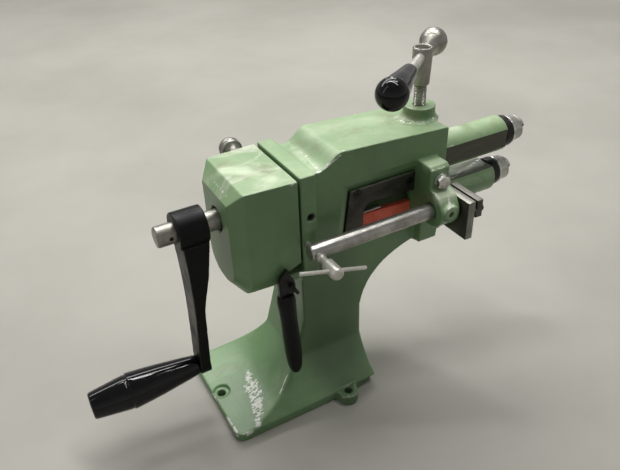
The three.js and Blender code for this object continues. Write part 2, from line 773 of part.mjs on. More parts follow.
// Side view of the block with the throat's curve under it
function blockSide() {
  const outline = new THREE.Shape();
  const throatX = COLUMN_BACK_X + THROAT_LENGTH;
  const throatZ = BLOCK_BOTTOM_Z - THROAT_STEP;
  outline.moveTo(COLUMN_X, THROAT_START_Z);
  outline.lineTo(COLUMN_BACK_X, THROAT_START_Z);
  outline.bezierCurveTo(
    COLUMN_BACK_X + THROAT_LEAN,
    THROAT_START_Z + THROAT_HEIGHT / 2,
    throatX - THROAT_PULL_X,
    throatZ - THROAT_PULL_Z,
    throatX,
    throatZ,
  );
  outline.lineTo(BLOCK_END, BLOCK_BOTTOM_Z);
  outline.lineTo(BLOCK_END, BLOCK_END_TOP_Z);
  outline.lineTo(BLOCK_TOP_X, BLOCK_TOP_Z);
  outline.bezierCurveTo(
    BLOCK_TOP_X - 0.375 * NECK_RAMP,
    BLOCK_TOP_Z,
    BLOCK_TOP_X - 0.625 * NECK_RAMP,
    NECK_Z,
    BLOCK_TOP_X - NECK_RAMP,
    NECK_Z,
  );
  outline.lineTo(GROOVE + 2, NECK_Z);
  outline.lineTo(GROOVE + 2, FLANGE_BOTTOM_Z);
  outline.lineTo(COLUMN_X, FLANGE_BOTTOM_Z);
  outline.closePath();
  return extruded(outline, 'y', -BLOCK_HALF, BLOCK_HALF, 7);
}

function flange() {
  const outline = [
    ...arc([FLANGE_FRONT + FLANGE_CORNER_R, FLANGE_BOTTOM_Z + FLANGE_CORNER_R], FLANGE_CORNER_R, 180, 270, 6),
    ...arc([FLANGE_BACK - FLANGE_CORNER_R, FLANGE_BOTTOM_Z + FLANGE_CORNER_R], FLANGE_CORNER_R, 270, 360, 6),
    [FLANGE_BACK, FLANGE_TOP_Z],
    [FLANGE_FRONT, FLANGE_TOP_Z],
  ];
  return extruded(outline, 'x', GROOVE, FLANGE_X1);
}

// The rim that centres the cover, above the lower corners
function coverRim() {
  const low = UPPER_Z - COVER_RIM_BELOW;
  const outlineIn = (half, inset) => coverOutline(half, COVER_TOP_Z, COVER_BOTTOM_Z, COVER_CORNER_R, inset);
  const outer = outlineIn(COVER_HALF - 0.4, COVER_WALL + SEAT);
  const inner = outlineIn(COVER_HALF, COVER_WALL + COVER_RIM_THICK);
  const ring = cut(
    solid(extruded(outer.slice().reverse(), 'x', -COVER_RIM_DEPTH, GROOVE + 1)),
    extruded(inner.slice().reverse(), 'x', -COVER_RIM_DEPTH - 1, GROOVE + 0.01),
  );
  return cut(ring, box(-COVER_LENGTH, GROOVE + 2, -2 * COVER_HALF, 2 * COVER_HALF, 0, low));
}

// Lug that carries the stop rod, with the seat of the guide bolt and the clamp boss
function lug() {
  const root = FRONT_FACE_Y + WALL - 3;
  const barrel = ROD_R + LUG_WALL;
  const ledge = GUIDE_BOLT_Z - WASHER_R - 8 * SEAT;
  const side = [
    [root, LUG_TOP_Z],
    [GUIDE_SEAT_Y + LUG_CORNER, LUG_TOP_Z],
    [GUIDE_SEAT_Y, LUG_TOP_Z - LUG_CORNER],
    [GUIDE_SEAT_Y, ledge],
    [ROD_Y - 0.19 * barrel, ledge - 1],
    [ROD_Y - 0.55 * barrel, ledge - 0.25 * barrel],
    [ROD_Y - 0.84 * barrel, ROD_Z + 0.68 * barrel],
    ...arc([ROD_Y, ROD_Z], barrel, 165, 265, 8),
    [FRONT_FACE_Y - 15, ROD_Z - 0.93 * barrel],
    [FRONT_FACE_Y - 12, BLOCK_BOTTOM_Z - 1],
    [root, BLOCK_BOTTOM_Z - 2 * THROAT_STEP],
  ];
  const clampBoss = rod(CLAMP_BOSS_R, CLAMP_BOSS_LENGTH, 28);
  return solid(extruded(side, 'x', LUG_X0, LUG_X1))
    .add(solid(aimed(clampBoss, [CLAMP_X, CLAMP_FACE_Y + CLAMP_BOSS_LENGTH, CLAMP_Z], TO_FRONT)));
}

function screwBoss() {
  const foot = BLOCK_END_TOP_Z - BOSS_FOOT;
  return turned([
    [0, foot],
    [BOSS_R + BOSS_FOOT, foot],
    [BOSS_R + 0.83 * BOSS_FOOT, BLOCK_END_TOP_Z + 0.25 * BOSS_FOOT],
    [BOSS_R + 0.2 * BOSS_FOOT, BLOCK_END_TOP_Z + 0.75 * BOSS_FOOT],
    [BOSS_R, BLOCK_END_TOP_Z + 1.33 * BOSS_FOOT],
    [BOSS_R, BOSS_TOP_Z - BOSS_EDGE],
    [BOSS_R - BOSS_EDGE, BOSS_TOP_Z],
    [0, BOSS_TOP_Z],
  ], 28).translate(SCREW_X, 0, 0);
}

// Boss of the alignment lever's pin, under the cover's free corner
function leverBoss() {
  const half = LEVER_BOSS_R - 1;
  return joined(
    aimed(rod(LEVER_BOSS_R, LEVER_BOSS_LENGTH, 20), [LEVER_X, LEVER_BOSS_Y, LEVER_Z], TO_FRONT),
    box(LEVER_X, COLUMN_X + 1, LEVER_BOSS_Y - LEVER_BOSS_ROOT, LEVER_BOSS_Y, LEVER_Z - half, LEVER_Z + half),
  );
}

// Lug inside the cover that the cover's knob screws into
function knobLug() {
  const front = COVER_END_HALF + 2;
  const back = COVER_HALF - COVER_TAPER - COVER_WALL - 1;
  const half = KNOB_LUG_HALF;
  return box(KNOB_X - half, GROOVE + 1, front, back, KNOB_Z - half, KNOB_Z + half);
}

// Bevelled pocket in the front wall for the window plate
function windowPocket() {
  const bottom = WINDOW_BOTTOM_Z;
  const ringAt = (y, grow) => [
    [WINDOW_X0 - WINDOW_LEAN - grow, y, bottom - grow * 0.5],
    [LUG_X0, y, bottom - grow * 0.5],
    [LUG_X0, y, WINDOW_TOP_Z + grow],
    [WINDOW_X0 - grow, y, WINDOW_TOP_Z + grow],
  ];
  const floor = INNER_FACE_Y;
  return lofted([
    ringAt(floor, 0),
    ringAt(FRONT_FACE_Y + PLATE_SETBACK, 0),
    ringAt(FRONT_FACE_Y, WINDOW_BEVEL),
    ringAt(FRONT_FACE_Y - 1, WINDOW_BEVEL + 1),
  ]);
}

function openingOutline() {
  const corner = PLATE_CORNER_R;
  return [
    [OPENING_X0, OPENING_Z0],
    [LUG_X0 - 1, OPENING_Z0],
    [LUG_X0 - 1, OPENING_Z1],
    ...arc([OPENING_X0 + corner, OPENING_Z1 - corner], corner, 90, 180, 6),
  ];
}

// Hollows of the casting: the arm's channel, the chamber behind the window and the bores
function castingHollows() {
  const side = ARM_R + ARM_SIDE_GAP;
  const armFloor = UPPER_Z - ARM_R - ARM_DROP_ROOM;
  const mouth = BLOCK_END + ARM_BOSS_LENGTH + 1;
  const chamberStart = LOWER_ARM_START - 12;
  const chamberEnd = LUG_X0 + 4;
  const front = INNER_FACE_Y + WALL;
  return [
    box(GROOVE - 1, mouth, -side, side, armFloor, CHANNEL_ROOF_Z),
    box(FLANGE_X1 + CHANNEL_SHELF, chamberStart, front, -INNER_FACE_Y, SPRING_FLOOR_Z, CHANNEL_ROOF_Z),
    box(chamberStart, chamberEnd, front, -INNER_FACE_Y, OPENING_Z0 - 3, CHANNEL_ROOF_Z),
    aimed(rod(ARM_R + SEAT, BLOCK_END, 32), [LOWER_ARM_START - SEAT, 0, LOWER_Z], ALONG_X),
    aimed(rod(SHAFT_R + 2, LOWER_ARM_START + 1), [0, 0, LOWER_Z], ALONG_X),
    aimed(rod(ARM_BORE_R, BUSH_LENGTH + 1 + SEAT), [GROOVE - 1, 0, LOWER_Z], ALONG_X),
    rod(SCREW_R + RUN, BOSS_TOP_Z - CHANNEL_ROOF_Z + 2).translate(SCREW_X, 0, CHANNEL_ROOF_Z - 1),
    rod(SHOE_R + 1, SHOE_ROOM + 6).translate(SCREW_X, 0, CHANNEL_ROOF_Z - 1),
    extruded(openingOutline(), 'y', FRONT_FACE_Y - 1, INNER_FACE_Y + WALL + 1),
  ];
}

function castingBores() {
  const pivotLength = FLANGE_BACK - FLANGE_FRONT + 2;
  const pivotEnd = [PIVOT_X, FLANGE_BACK + 1, UPPER_Z];
  const pivotBore = aimed(rod(PIVOT_R + SEAT, pivotLength, 20), pivotEnd, TO_FRONT);
  const boltHole = 4 * EAR_THICK;
  const endHole = rod(BOLT_HOLE_R, boltHole, 20).translate(END_HOLE_X, 0, -1);
  const endSpot = rod(SPOT_R, boltHole, 24).translate(END_HOLE_X, 0, BASE_THICK - SPOT_DEPTH);
  const earHoles = [-1, 1].map((side) => rod(BOLT_HOLE_R, boltHole, 20).translate(EAR_X, side * EAR_Y, -1));
  const guideBore = rod(GUIDE_BOLT_R + SEAT, -GUIDE_SEAT_Y, 20);
  const guideHole = aimed(guideBore, [GUIDE_BOLT_X, GUIDE_SEAT_Y - 1, GUIDE_BOLT_Z], TO_BACK);
  const rodHole = aimed(rod(ROD_R + RUN, 2 * LUG_WIDTH), [LUG_X0 - ROD_R, ROD_Y, ROD_Z], ALONG_X);
  const clampBore = rod(CLAMP_SCREW_R + SEAT, -CLAMP_FACE_Y + ROD_Y + 1, 16);
  const clampHole = aimed(clampBore, [CLAMP_X, CLAMP_FACE_Y - 1, CLAMP_Z], TO_BACK);
  const leverBore = rod(LEVER_PIN_R + SEAT, LEVER_BOSS_LENGTH + LEVER_BOSS_ROOT, 16);
  const leverHole = aimed(leverBore, [LEVER_X, LEVER_BACK_Y - 1, LEVER_Z], TO_BACK);
  const knobHole = aimed(rod(KNOB_SHANK_R + SEAT, COVER_HALF, 16), [KNOB_X, COVER_END_HALF, KNOB_Z], TO_BACK);
  const plateBore = () => rod(PLATE_SCREW_R + SEAT, PLATE_SCREW_LENGTH, 16);
  const plateHoles = plateScrews().map(([x, z]) => aimed(plateBore(), [x, INNER_FACE_Y - 1, z], TO_BACK));
  return [
    pivotBore,
    endHole,
    endSpot,
    ...earHoles,
    guideHole,
    rodHole,
    clampHole,
    leverHole,
    knobHole,
    ...plateHoles,
  ];
}

function bodyCasting() {
  const armBossAt = [BLOCK_END - 2 * ARM_BOSS_LENGTH, 0, LOWER_Z];
  const armBoss = aimed(rod(ARM_BOSS_R, 3 * ARM_BOSS_LENGTH, 28), armBossAt, ALONG_X);
  const whole = joined(
    basePlate(),
    ear(-1),
    ear(1),
    column(THROAT_START_Z + COLUMN_OVERLAP),
    blockSide(),
    flange(),
    screwBoss(),
    armBoss,
  ).add(lug()).add(leverBoss()).add(coverRim()).add(solid(knobLug()));
  return surface(cut(whole, windowPocket(), ...castingHollows(), ...castingBores()));
}

function plateScrews() {
  return [[WINDOW_X0 + 13, PLATE_TOP_Z - 7], [LUG_X0 - 8, PLATE_TOP_Z - 13]];
}

// L-shaped plate behind the window, with a rounded inner corner
function windowPlate() {
  const back = INNER_FACE_Y - SEAT;
  const corner = PLATE_CORNER_R;
  const legX = OPENING_X0 - 3;
  const bandZ = OPENING_Z1 + 1;
  const outline = [
    [WINDOW_X0 - WINDOW_LEAN + 3, WINDOW_BOTTOM_Z + 1],
    [legX - 3, WINDOW_BOTTOM_Z + 1],
    ...arc([legX + corner, bandZ - corner], corner, 180, 90, 6),
    [LUG_X0 - SEAT, bandZ - 4],
    [LUG_X0 - SEAT, PLATE_TOP_Z],
    [WINDOW_X0 + 3, PLATE_TOP_Z - 1],
  ];
  const holes = plateScrews().map(([x, z]) => aimed(screwShape(SEAT), [x, back - PLATE_THICK, z], TO_BACK));
  return surface(cut(solid(extruded(outline, 'y', back - PLATE_THICK, back)), ...holes));
}

// Countersunk screw along +Z from its flat head, grown by a gap for its hole
function screwShape(gap) {
  const flat = gap > 0 ? -1 : 0.2;
  return turned([
    [0, flat],
    [PLATE_SCREW_HEAD_R + gap, flat],
    [PLATE_SCREW_HEAD_R + gap, 0.4],
    [PLATE_SCREW_R + gap, PLATE_SCREW_HEAD_R - PLATE_SCREW_R + 0.4],
    [PLATE_SCREW_R + gap, PLATE_SCREW_LENGTH],
    [0, PLATE_SCREW_LENGTH],
  ], 12);
}

function redBar() {
  const x0 = OPENING_X0 + SEAT;
  const x1 = LUG_X0 - 1 - SEAT;
  const outline = [
    [x0, BAR_Z],
    [x1, BAR_Z - BAR_FALL],
    [x1, BAR_Z + BAR_HEIGHT - BAR_FALL],
    [x0, BAR_Z + BAR_HEIGHT],
  ];
  return extruded(outline, 'y', INNER_FACE_Y, INNER_FACE_Y + WALL);
}

// Pivot pin of the upper arm, along +Z from its socketed outer end
function pivotPin(length) {
  const socket = new THREE.CylinderGeometry(PIVOT_SOCKET_R, PIVOT_SOCKET_R, 4, 6).rotateX(Math.PI / 2);
  return surface(cut(solid(turned([
    [0, 0],
    [PIVOT_R - 0.5, 0],
    [PIVOT_R, 0.5],
    [PIVOT_R, length],
    [0, length],
  ], 16)), socket));
}

// Spindle along +Z from its foot on the shoe
const SPINDLE_Z = ARM_TOP_Z + 2 * SEAT + SHOE_THICK;
function spindle() {
  const length = HANDLE_Z - HANDLE_R - 2 - SPINDLE_Z;
  return turned([
    [0, 0],
    [SCREW_R - 1.5, 0],
    [SCREW_R, 1.5],
    [SCREW_R, length],
    [0, length],
  ], 20);
}

const HANDLE_DIRECTION = [
  Math.cos(THREE.MathUtils.degToRad(HANDLE_ANGLE)),
  Math.sin(THREE.MathUtils.degToRad(HANDLE_ANGLE)),
  HANDLE_RISE,
];

// Tapered tubular head on the spindle, crossed by the handle bar
function screwHead() {
  const blank = solid(turned([
    [0, 0],
    [HEAD_FOOT_R - 0.6, 0],
    [HEAD_FOOT_R, 0.6],
    [HEAD_R, HEAD_LENGTH - HEAD_BAND],
    [HEAD_R, HEAD_LENGTH - 0.8],
    [HEAD_R - 0.8, HEAD_LENGTH],
    [0, HEAD_LENGTH],
  ], 20));
  const bore = rod(SCREW_R + SEAT, HEAD_LENGTH + 2).translate(0, 0, -1);
  const cross = aimed(rod(HANDLE_R + SEAT, 4 * HEAD_R, 16), [0, 0, 0], HANDLE_DIRECTION);
  const unit = new THREE.Vector3(...HANDLE_DIRECTION).normalize().multiplyScalar(-2 * HEAD_R);
  cross.translate(unit.x, unit.y, unit.z + HANDLE_Z - HEAD_Z);
  return surface(cut(blank, bore, cross));
}

const BAR_IN_WEIGHT = WEIGHT_BALL + WEIGHT_SOCKET - 1;
const BAR_IN_GRIP = GRIP_START + GRIP_SOCKET - 1;

function handleBar() {
  return rod(HANDLE_R, BAR_IN_WEIGHT + BAR_IN_GRIP, 20).translate(0, 0, -BAR_IN_WEIGHT);
}

// Long pear-shaped grip with rings round its ball, along +Z from its neck
function handleGrip() {
  const ball = GRIP_BALL - GRIP_START;
  const profile = [
    [HANDLE_R + SEAT, 0],
    [HANDLE_R + 3, 0],
    [HANDLE_R + 4.5, 2],
    [HANDLE_R + 6.5, 0.35 * ball],
    [HANDLE_R + 9, 0.62 * ball],
    ...[124, 101, 78, 55, 33, 12].map((angle) => onBall(GRIP_BALL_R, angle, ball)),
    [0, ball + GRIP_BALL_R],
    [0, GRIP_SOCKET],
    [HANDLE_R + SEAT, GRIP_SOCKET],
    [HANDLE_R + SEAT, 0],
  ];
  return turned(profile, 20);
}

// A point of a ball's profile: its angle is measured from the far pole
function onBall(radius, angle, centre) {
  const radians = THREE.MathUtils.degToRad(angle);
  return [radius * Math.sin(radians), centre + radius * Math.cos(radians)];
}

const WEIGHT_START = HEAD_R + 4;
function handleWeight() {
  const ball = WEIGHT_BALL - WEIGHT_START;
  const profile = [
    [HANDLE_R + SEAT, 0],
    [HANDLE_R + 2, 0],
    [HANDLE_R + 3.6, 0.35 * ball],
    ...[128, 104, 80, 56, 33, 12].map((angle) => onBall(WEIGHT_BALL_R, angle, ball)),
    [0, ball + WEIGHT_BALL_R],
    [0, ball + WEIGHT_SOCKET],
    [HANDLE_R + SEAT, ball + WEIGHT_SOCKET],
    [HANDLE_R + SEAT, 0],
  ];
  return turned(profile, 20);
}

// Saddle between the spindle and the arm, hollowed to the arm's round
function pressureShoe() {
  const foot = -SHOE_R * 0.3;
  const blank = solid(rod(SHOE_R, SHOE_THICK - foot, 24).translate(0, 0, foot));
  const hollow = aimed(rod(ARM_R + SEAT, 4 * SHOE_R, 40), [-2 * SHOE_R, 0, -ARM_R - SEAT], ALONG_X);
  return surface(cut(blank, hollow));
}

function gaugeRod() {
  const length = ROD_END - ROD_START;
  const blank = solid(turned([
    [0, 0],
    [ROD_R - 1, 0],
    [ROD_R, 1],
    [ROD_R, length],
    [0, length],
  ], 24));
  const screwHole = aimed(rod(T_THREAD_R + RUN, 3 * ROD_R, 16), [0, 1.5 * ROD_R, T_X - ROD_START], TO_FRONT);
  const endHole = rod(STOP_SCREW_R + SEAT, 1.6 * ROD_R, 16).translate(0, 0, length - 1.5 * ROD_R);
  return surface(cut(blank, screwHole, endHole));
}

// Stop plate round the rod's axis, down to a drop below it
function stopPlate(drop) {
  const outline = [
    [-STOP_OUT, STOP_EDGE - drop],
    [STOP_EDGE - STOP_OUT, -drop],
    [STOP_IN, -drop],
    [STOP_IN, STOP_RISE],
    [-STOP_OUT, STOP_RISE],
  ];
  const holes = [0, -STOP_SCREW_SPACING].map((y) => (
    aimed(rod(STOP_SCREW_R + SEAT, STOP_THICK + 2, 16), [-1, y, 0], ALONG_X)
  ));
  const blank = solid(extruded(outline, 'x', 0, STOP_THICK));
  return surface(cut(blank, ...holes));
}

// Socket screw along -Z under its head
function capScrew(length) {
  const socketR = STOP_SCREW_R - 0.1;
  const socket = new THREE.CylinderGeometry(socketR, socketR, STOP_SCREW_HEAD, 6).rotateX(Math.PI / 2);
  return surface(cut(solid(turned([
    [0, -length],
    [STOP_SCREW_R, -length],
    [STOP_SCREW_R, 0],
    [STOP_SCREW_HEAD_R, 0],
    [STOP_SCREW_HEAD_R, STOP_SCREW_HEAD - 0.5],
    [STOP_SCREW_HEAD_R - 0.5, STOP_SCREW_HEAD],
    [0, STOP_SCREW_HEAD],
  ], 16)), socket.translate(0, 0, STOP_SCREW_HEAD)));
}

function guideBolt() {
  const length = -GUIDE_SEAT_Y - ARM_R - 2 * SEAT;
  const head = new THREE.CylinderGeometry(HEX_ACROSS / Math.sqrt(3), HEX_ACROSS / Math.sqrt(3), HEX_THICK, 6);
  head.rotateX(Math.PI / 2).translate(0, 0, HEX_THICK / 2 + WASHER_THICK + 2 * SEAT);
  const shank = rod(GUIDE_BOLT_R, length + WASHER_THICK + 4, 16).translate(0, 0, -length);
  const crown = turned([
    [0, -length],
    [HEX_ACROSS, -length],
    [HEX_ACROSS * 0.56, HEX_THICK + 0.4],
    [HEX_ACROSS * 0.47, HEX_THICK + WASHER_THICK + 3 * SEAT],
    [0, HEX_THICK + WASHER_THICK + 3 * SEAT],
  ], 18);
  return surface(solid(head).intersect(solid(crown)).add(solid(shank)));
}

function clampScrew() {
  const length = ROD_Y - ROD_R - SEAT - CLAMP_FACE_Y - CLAMP_SCREW_IN;
  const socketR = 0.57 * CLAMP_SCREW_R;
  const socket = new THREE.CylinderGeometry(socketR, socketR, 6, 6).rotateX(Math.PI / 2);
  return surface(cut(solid(rod(CLAMP_SCREW_R, length, 16)), socket.translate(0, 0, length)));
}

// Clamping screw along +Z from its tip
function clampingScrew() {
  const tip = -FLANGE_FRONT + SEAT;
  const shoulder = -ROD_Y + ROD_R + 2 - tip;
  const head = -T_HEAD_Y - tip;
  const end = -T_END_Y - tip;
  const barHole = rod(T_BAR_R + SEAT, 4 * T_HEAD_R, 12).translate(0, 0, -2 * T_HEAD_R);
  const blank = solid(turned([
    [0, 0],
    [T_THREAD_R, 0],
    [T_THREAD_R, shoulder],
    [T_THREAD_R + T_SHOULDER, shoulder],
    [T_THREAD_R + T_SHOULDER, shoulder + 5],
    [T_THREAD_R + T_SHOULDER / 2, shoulder + 6],
    [T_THREAD_R + T_SHOULDER / 2, head],
    [T_HEAD_R, head],
    [T_HEAD_R, end - 0.3 * T_HEAD_R],
    [0.7 * T_HEAD_R, end],
    [0, end],
  ], 18));
  return surface(cut(blank, aimed(barHole, [0, 0, head + T_BAR_PLACE], [1, 0, 0])));
}

function crankArm() {
  const hubBack = CRANK_HUB_X + CRANK_HUB_LENGTH;
  const face = CRANK_HUB_X + CRANK_DISH;
  const eyeZ = -CRANK_RADIUS;
  const side = new THREE.Shape();
  side.moveTo(CRANK_HUB_X + 2, -CRANK_HUB_R * 0.6);
  side.quadraticCurveTo(face, 0.29 * eyeZ, face, 0.43 * eyeZ);
  side.quadraticCurveTo(face, 0.83 * eyeZ, CRANK_HUB_X + 0.5, eyeZ + 0.7 * CRANK_EYE_R);
  side.lineTo(CRANK_HUB_X + 0.5, eyeZ);
  side.lineTo(CRANK_HUB_X + CRANK_EYE_THICK - 0.5, eyeZ);
  side.lineTo(face + CRANK_THIN, 0.58 * eyeZ);
  side.quadraticCurveTo(face + CRANK_THIN, 0.46 * eyeZ, hubBack - 8, 0.29 * eyeZ);
  side.lineTo(hubBack - 2, -CRANK_HUB_R * 0.6);
  side.closePath();
  const front = [
    ...arc([0, 0], CRANK_HUB_R, -20, 200, 10),
    ...arc([0, eyeZ], CRANK_EYE_R - 0.5, 180, 360, 8),
  ];
  const web = solid(extruded(side, 'y', -CRANK_HUB_R - 1, CRANK_HUB_R + 1, 6))
    .intersect(solid(extruded(front, 'x', CRANK_HUB_X - 1, hubBack + 1)));
  const hub = aimed(turned([
    [0, 0],
    [CRANK_HUB_R - CRANK_HUB_EDGE, 0],
    [CRANK_HUB_R, CRANK_HUB_EDGE],
    [CRANK_HUB_R, CRANK_HUB_LENGTH - CRANK_HUB_EDGE],
    [CRANK_HUB_R - CRANK_HUB_EDGE, CRANK_HUB_LENGTH],
    [0, CRANK_HUB_LENGTH],
  ], 24), [CRANK_HUB_X, 0, 0], ALONG_X);
  const eye = aimed(rod(CRANK_EYE_R, CRANK_EYE_THICK), [CRANK_HUB_X, 0, eyeZ], ALONG_X);
  const through = CRANK_HUB_LENGTH + 2;
  const shaftBore = aimed(rod(SHAFT_R + SEAT, through), [CRANK_HUB_X - 1, 0, 0], ALONG_X);
  const pinBore = aimed(rod(GRIP_PIN_R + SEAT, through, 16), [CRANK_HUB_X - 1, 0, eyeZ], ALONG_X);
  const keyTop = -SHAFT_R - KEY / 2 - SEAT;
  const keyHalf = KEY / 2 + SEAT;
  const keyway = box(CRANK_HUB_X - 1, hubBack + 1, -keyHalf, keyHalf, keyTop, -SHAFT_R + KEY / 2);
  return surface(cut(web.add(solid(hub)).add(solid(eye)), shaftBore, pinBore, keyway));
}

// Revolving grip along +Z from its end at the crank
function crankGrip() {
  const bore = GRIP_PIN_R + RUN;
  const swell = GRIP_RING_R - GRIP_NECK_R;
  return turned([
    [bore, 0],
    [GRIP_NECK_R - 1, 0],
    [GRIP_NECK_R, 1],
    [GRIP_NECK_R + 0.42 * swell, 0.35 * GRIP_RING],
    [GRIP_NECK_R + 0.78 * swell, 0.7 * GRIP_RING],
    [GRIP_RING_R, GRIP_RING],
    [GRIP_RING_R - 1.2, GRIP_RING + GRIP_RING_WIDTH],
    [(GRIP_RING_R + GRIP_END_R) / 2 + 0.8, (GRIP_RING + GRIP_LENGTH) / 2],
    [GRIP_END_R, GRIP_LENGTH - 2],
    [GRIP_END_R - 2, GRIP_LENGTH],
    [GRIP_PIN_R + GRIP_PIN_HEAD + 1, GRIP_LENGTH],
    [GRIP_PIN_R + GRIP_PIN_HEAD + 1, GRIP_LENGTH - GRIP_END_HOLLOW],
    [bore, GRIP_LENGTH - GRIP_END_HOLLOW],
    [bore, 0],
  ], 20);
}

// Pin of the grip along +Z from the back of the crank's eye
function gripPin() {
  const seat = CRANK_EYE_THICK + 2 * SEAT + GRIP_LENGTH - GRIP_END_HOLLOW + RUN;
  return turned([
    [0, 0],
    [GRIP_PIN_R, 0],
    [GRIP_PIN_R, seat],
    [GRIP_PIN_R + GRIP_PIN_HEAD, seat],
    [GRIP_PIN_R + GRIP_PIN_HEAD, seat + GRIP_END_HOLLOW / 2],
    [0, seat + GRIP_END_HOLLOW / 2],
  ], 16);
}

function coverKnob() {
  const shank = KNOB_SEAT_Y - COVER_END_HALF - 3;
  return turned([
    [0, -shank],
    [KNOB_SHANK_R, -shank],
    [KNOB_SHANK_R, 0],
    [KNOB_FOOT_R, 0],
    [KNOB_FOOT_R, KNOB_FOOT_LENGTH],
    [KNOB_FOOT_R - 1, KNOB_FOOT_LENGTH + 1],
    [KNOB_FOOT_R - 1, KNOB_FOOT_LENGTH + KNOB_NECK_LENGTH],
    [KNOB_R, KNOB_FOOT_LENGTH + 1.33 * KNOB_NECK_LENGTH],
    [KNOB_R, 0.87 * KNOB_LENGTH],
    [0.82 * KNOB_R, 0.97 * KNOB_LENGTH],
    [0, KNOB_LENGTH],
  ], 20);
}

// Flat upper part of the alignment lever with its pin hole and the tongue for its grip
function leverBlade() {
  const gripTop = LEVER_GRIP_LENGTH - LEVER_LENGTH;
  const tongue = LEVER_TONGUE_HALF;
  const front = 0.27 * LEVER_WIDTH;
  const back = LEVER_WIDTH - front;
  const outline = [
    ...arc([-0.17 * LEVER_WIDTH, LEVER_RISE - LEVER_TOP_R], LEVER_TOP_R, 0, 180, 4),
    [-0.7 * back, 0.65 * LEVER_RISE],
    [-0.97 * back, 0.4 * LEVER_RISE],
    [-back, 0.5 * LEVER_HEEL_Z],
    [-LEVER_HEEL, 0.65 * LEVER_HEEL_Z],
    [-LEVER_HEEL, LEVER_HEEL_Z],
    [-0.9 * LEVER_HEEL, 1.25 * LEVER_HEEL_Z],
    [-LEVER_OFFSET - tongue - 2, gripTop],
    [-LEVER_OFFSET - tongue, gripTop],
    [-LEVER_OFFSET - tongue, gripTop - LEVER_TONGUE],
    [-LEVER_OFFSET + tongue, gripTop - LEVER_TONGUE],
    [-LEVER_OFFSET + tongue, gripTop],
    [-LEVER_OFFSET + tongue + 2, gripTop],
    [0.55 * front, -0.8 * LEVER_RISE],
    [front, -0.3 * LEVER_RISE],
    [0.83 * front, 0.35 * LEVER_RISE],
  ];
  const blade = extruded(outline, 'y', -LEVER_THICK / 2, LEVER_THICK / 2);
  const hole = aimed(rod(LEVER_PIN_R + RUN, 3 * LEVER_THICK, 16), [0, 1.5 * LEVER_THICK, 0], TO_FRONT);
  return surface(cut(solid(blade), hole));
}

// Teardrop grip pushed over the lever's tongue, along +Z from its lower tip
function leverGrip() {
  const profile = [
    [0, 0],
    [LEVER_GRIP_R * 0.4, LEVER_GRIP_LENGTH * 0.013],
    [LEVER_GRIP_R * 0.76, LEVER_GRIP_LENGTH * 0.077],
    [LEVER_GRIP_R * 0.96, LEVER_GRIP_LENGTH * 0.19],
    [LEVER_GRIP_R, LEVER_GRIP_LENGTH * 0.376],
    [LEVER_GRIP_R * 0.96, LEVER_GRIP_LENGTH * 0.64],
    [LEVER_GRIP_R * 0.86, LEVER_GRIP_LENGTH * 0.983],
    [LEVER_GRIP_R * 0.7, LEVER_GRIP_LENGTH - SEAT],
    [0, LEVER_GRIP_LENGTH - SEAT],
  ];
  const half = LEVER_TONGUE_HALF + SEAT;
  const deep = LEVER_GRIP_LENGTH - LEVER_TONGUE - SEAT;
  const slot = box(-half, half, -LEVER_THICK / 2 - SEAT, LEVER_THICK / 2 + SEAT, deep, LEVER_GRIP_LENGTH);
  return surface(cut(solid(turned(profile, 20)), slot));
}

function leverPin() {
  const inner = -COVER_RELIEF_Y + LEVER_PIN_IN;
  const face = -LEVER_Y + LEVER_THICK / 2;
  return turned([
    [0, inner],
    [LEVER_PIN_R, inner],
    [LEVER_PIN_R, face + LEVER_PIN_PROUD / 4],
    [LEVER_PIN_R - 1, face + LEVER_PIN_PROUD / 4],
    [LEVER_PIN_R - 1, face + LEVER_PIN_PROUD],
    [0, face + LEVER_PIN_PROUD],
  ], 16);
}

class Helix extends THREE.Curve {
  getPoint(t, target = new THREE.Vector3()) {
    const height = UPPER_Z - ARM_R - SPRING_FLOOR_Z - 2 * SPRING_WIRE_R - 2 * SEAT;
    const angle = 2 * Math.PI * SPRING_TURNS * t;
    return target.set(SPRING_R * Math.cos(angle), SPRING_R * Math.sin(angle), height * t);
  }
}

function liftSpring() {
  const section = shapeOf(arc([0, 0], SPRING_WIRE_R, 0, 288, 4));
  const steps = SPRING_TURNS * 8;
  return new THREE.ExtrudeGeometry(section, { steps, extrudePath: new Helix(), bevelEnabled: false });
}

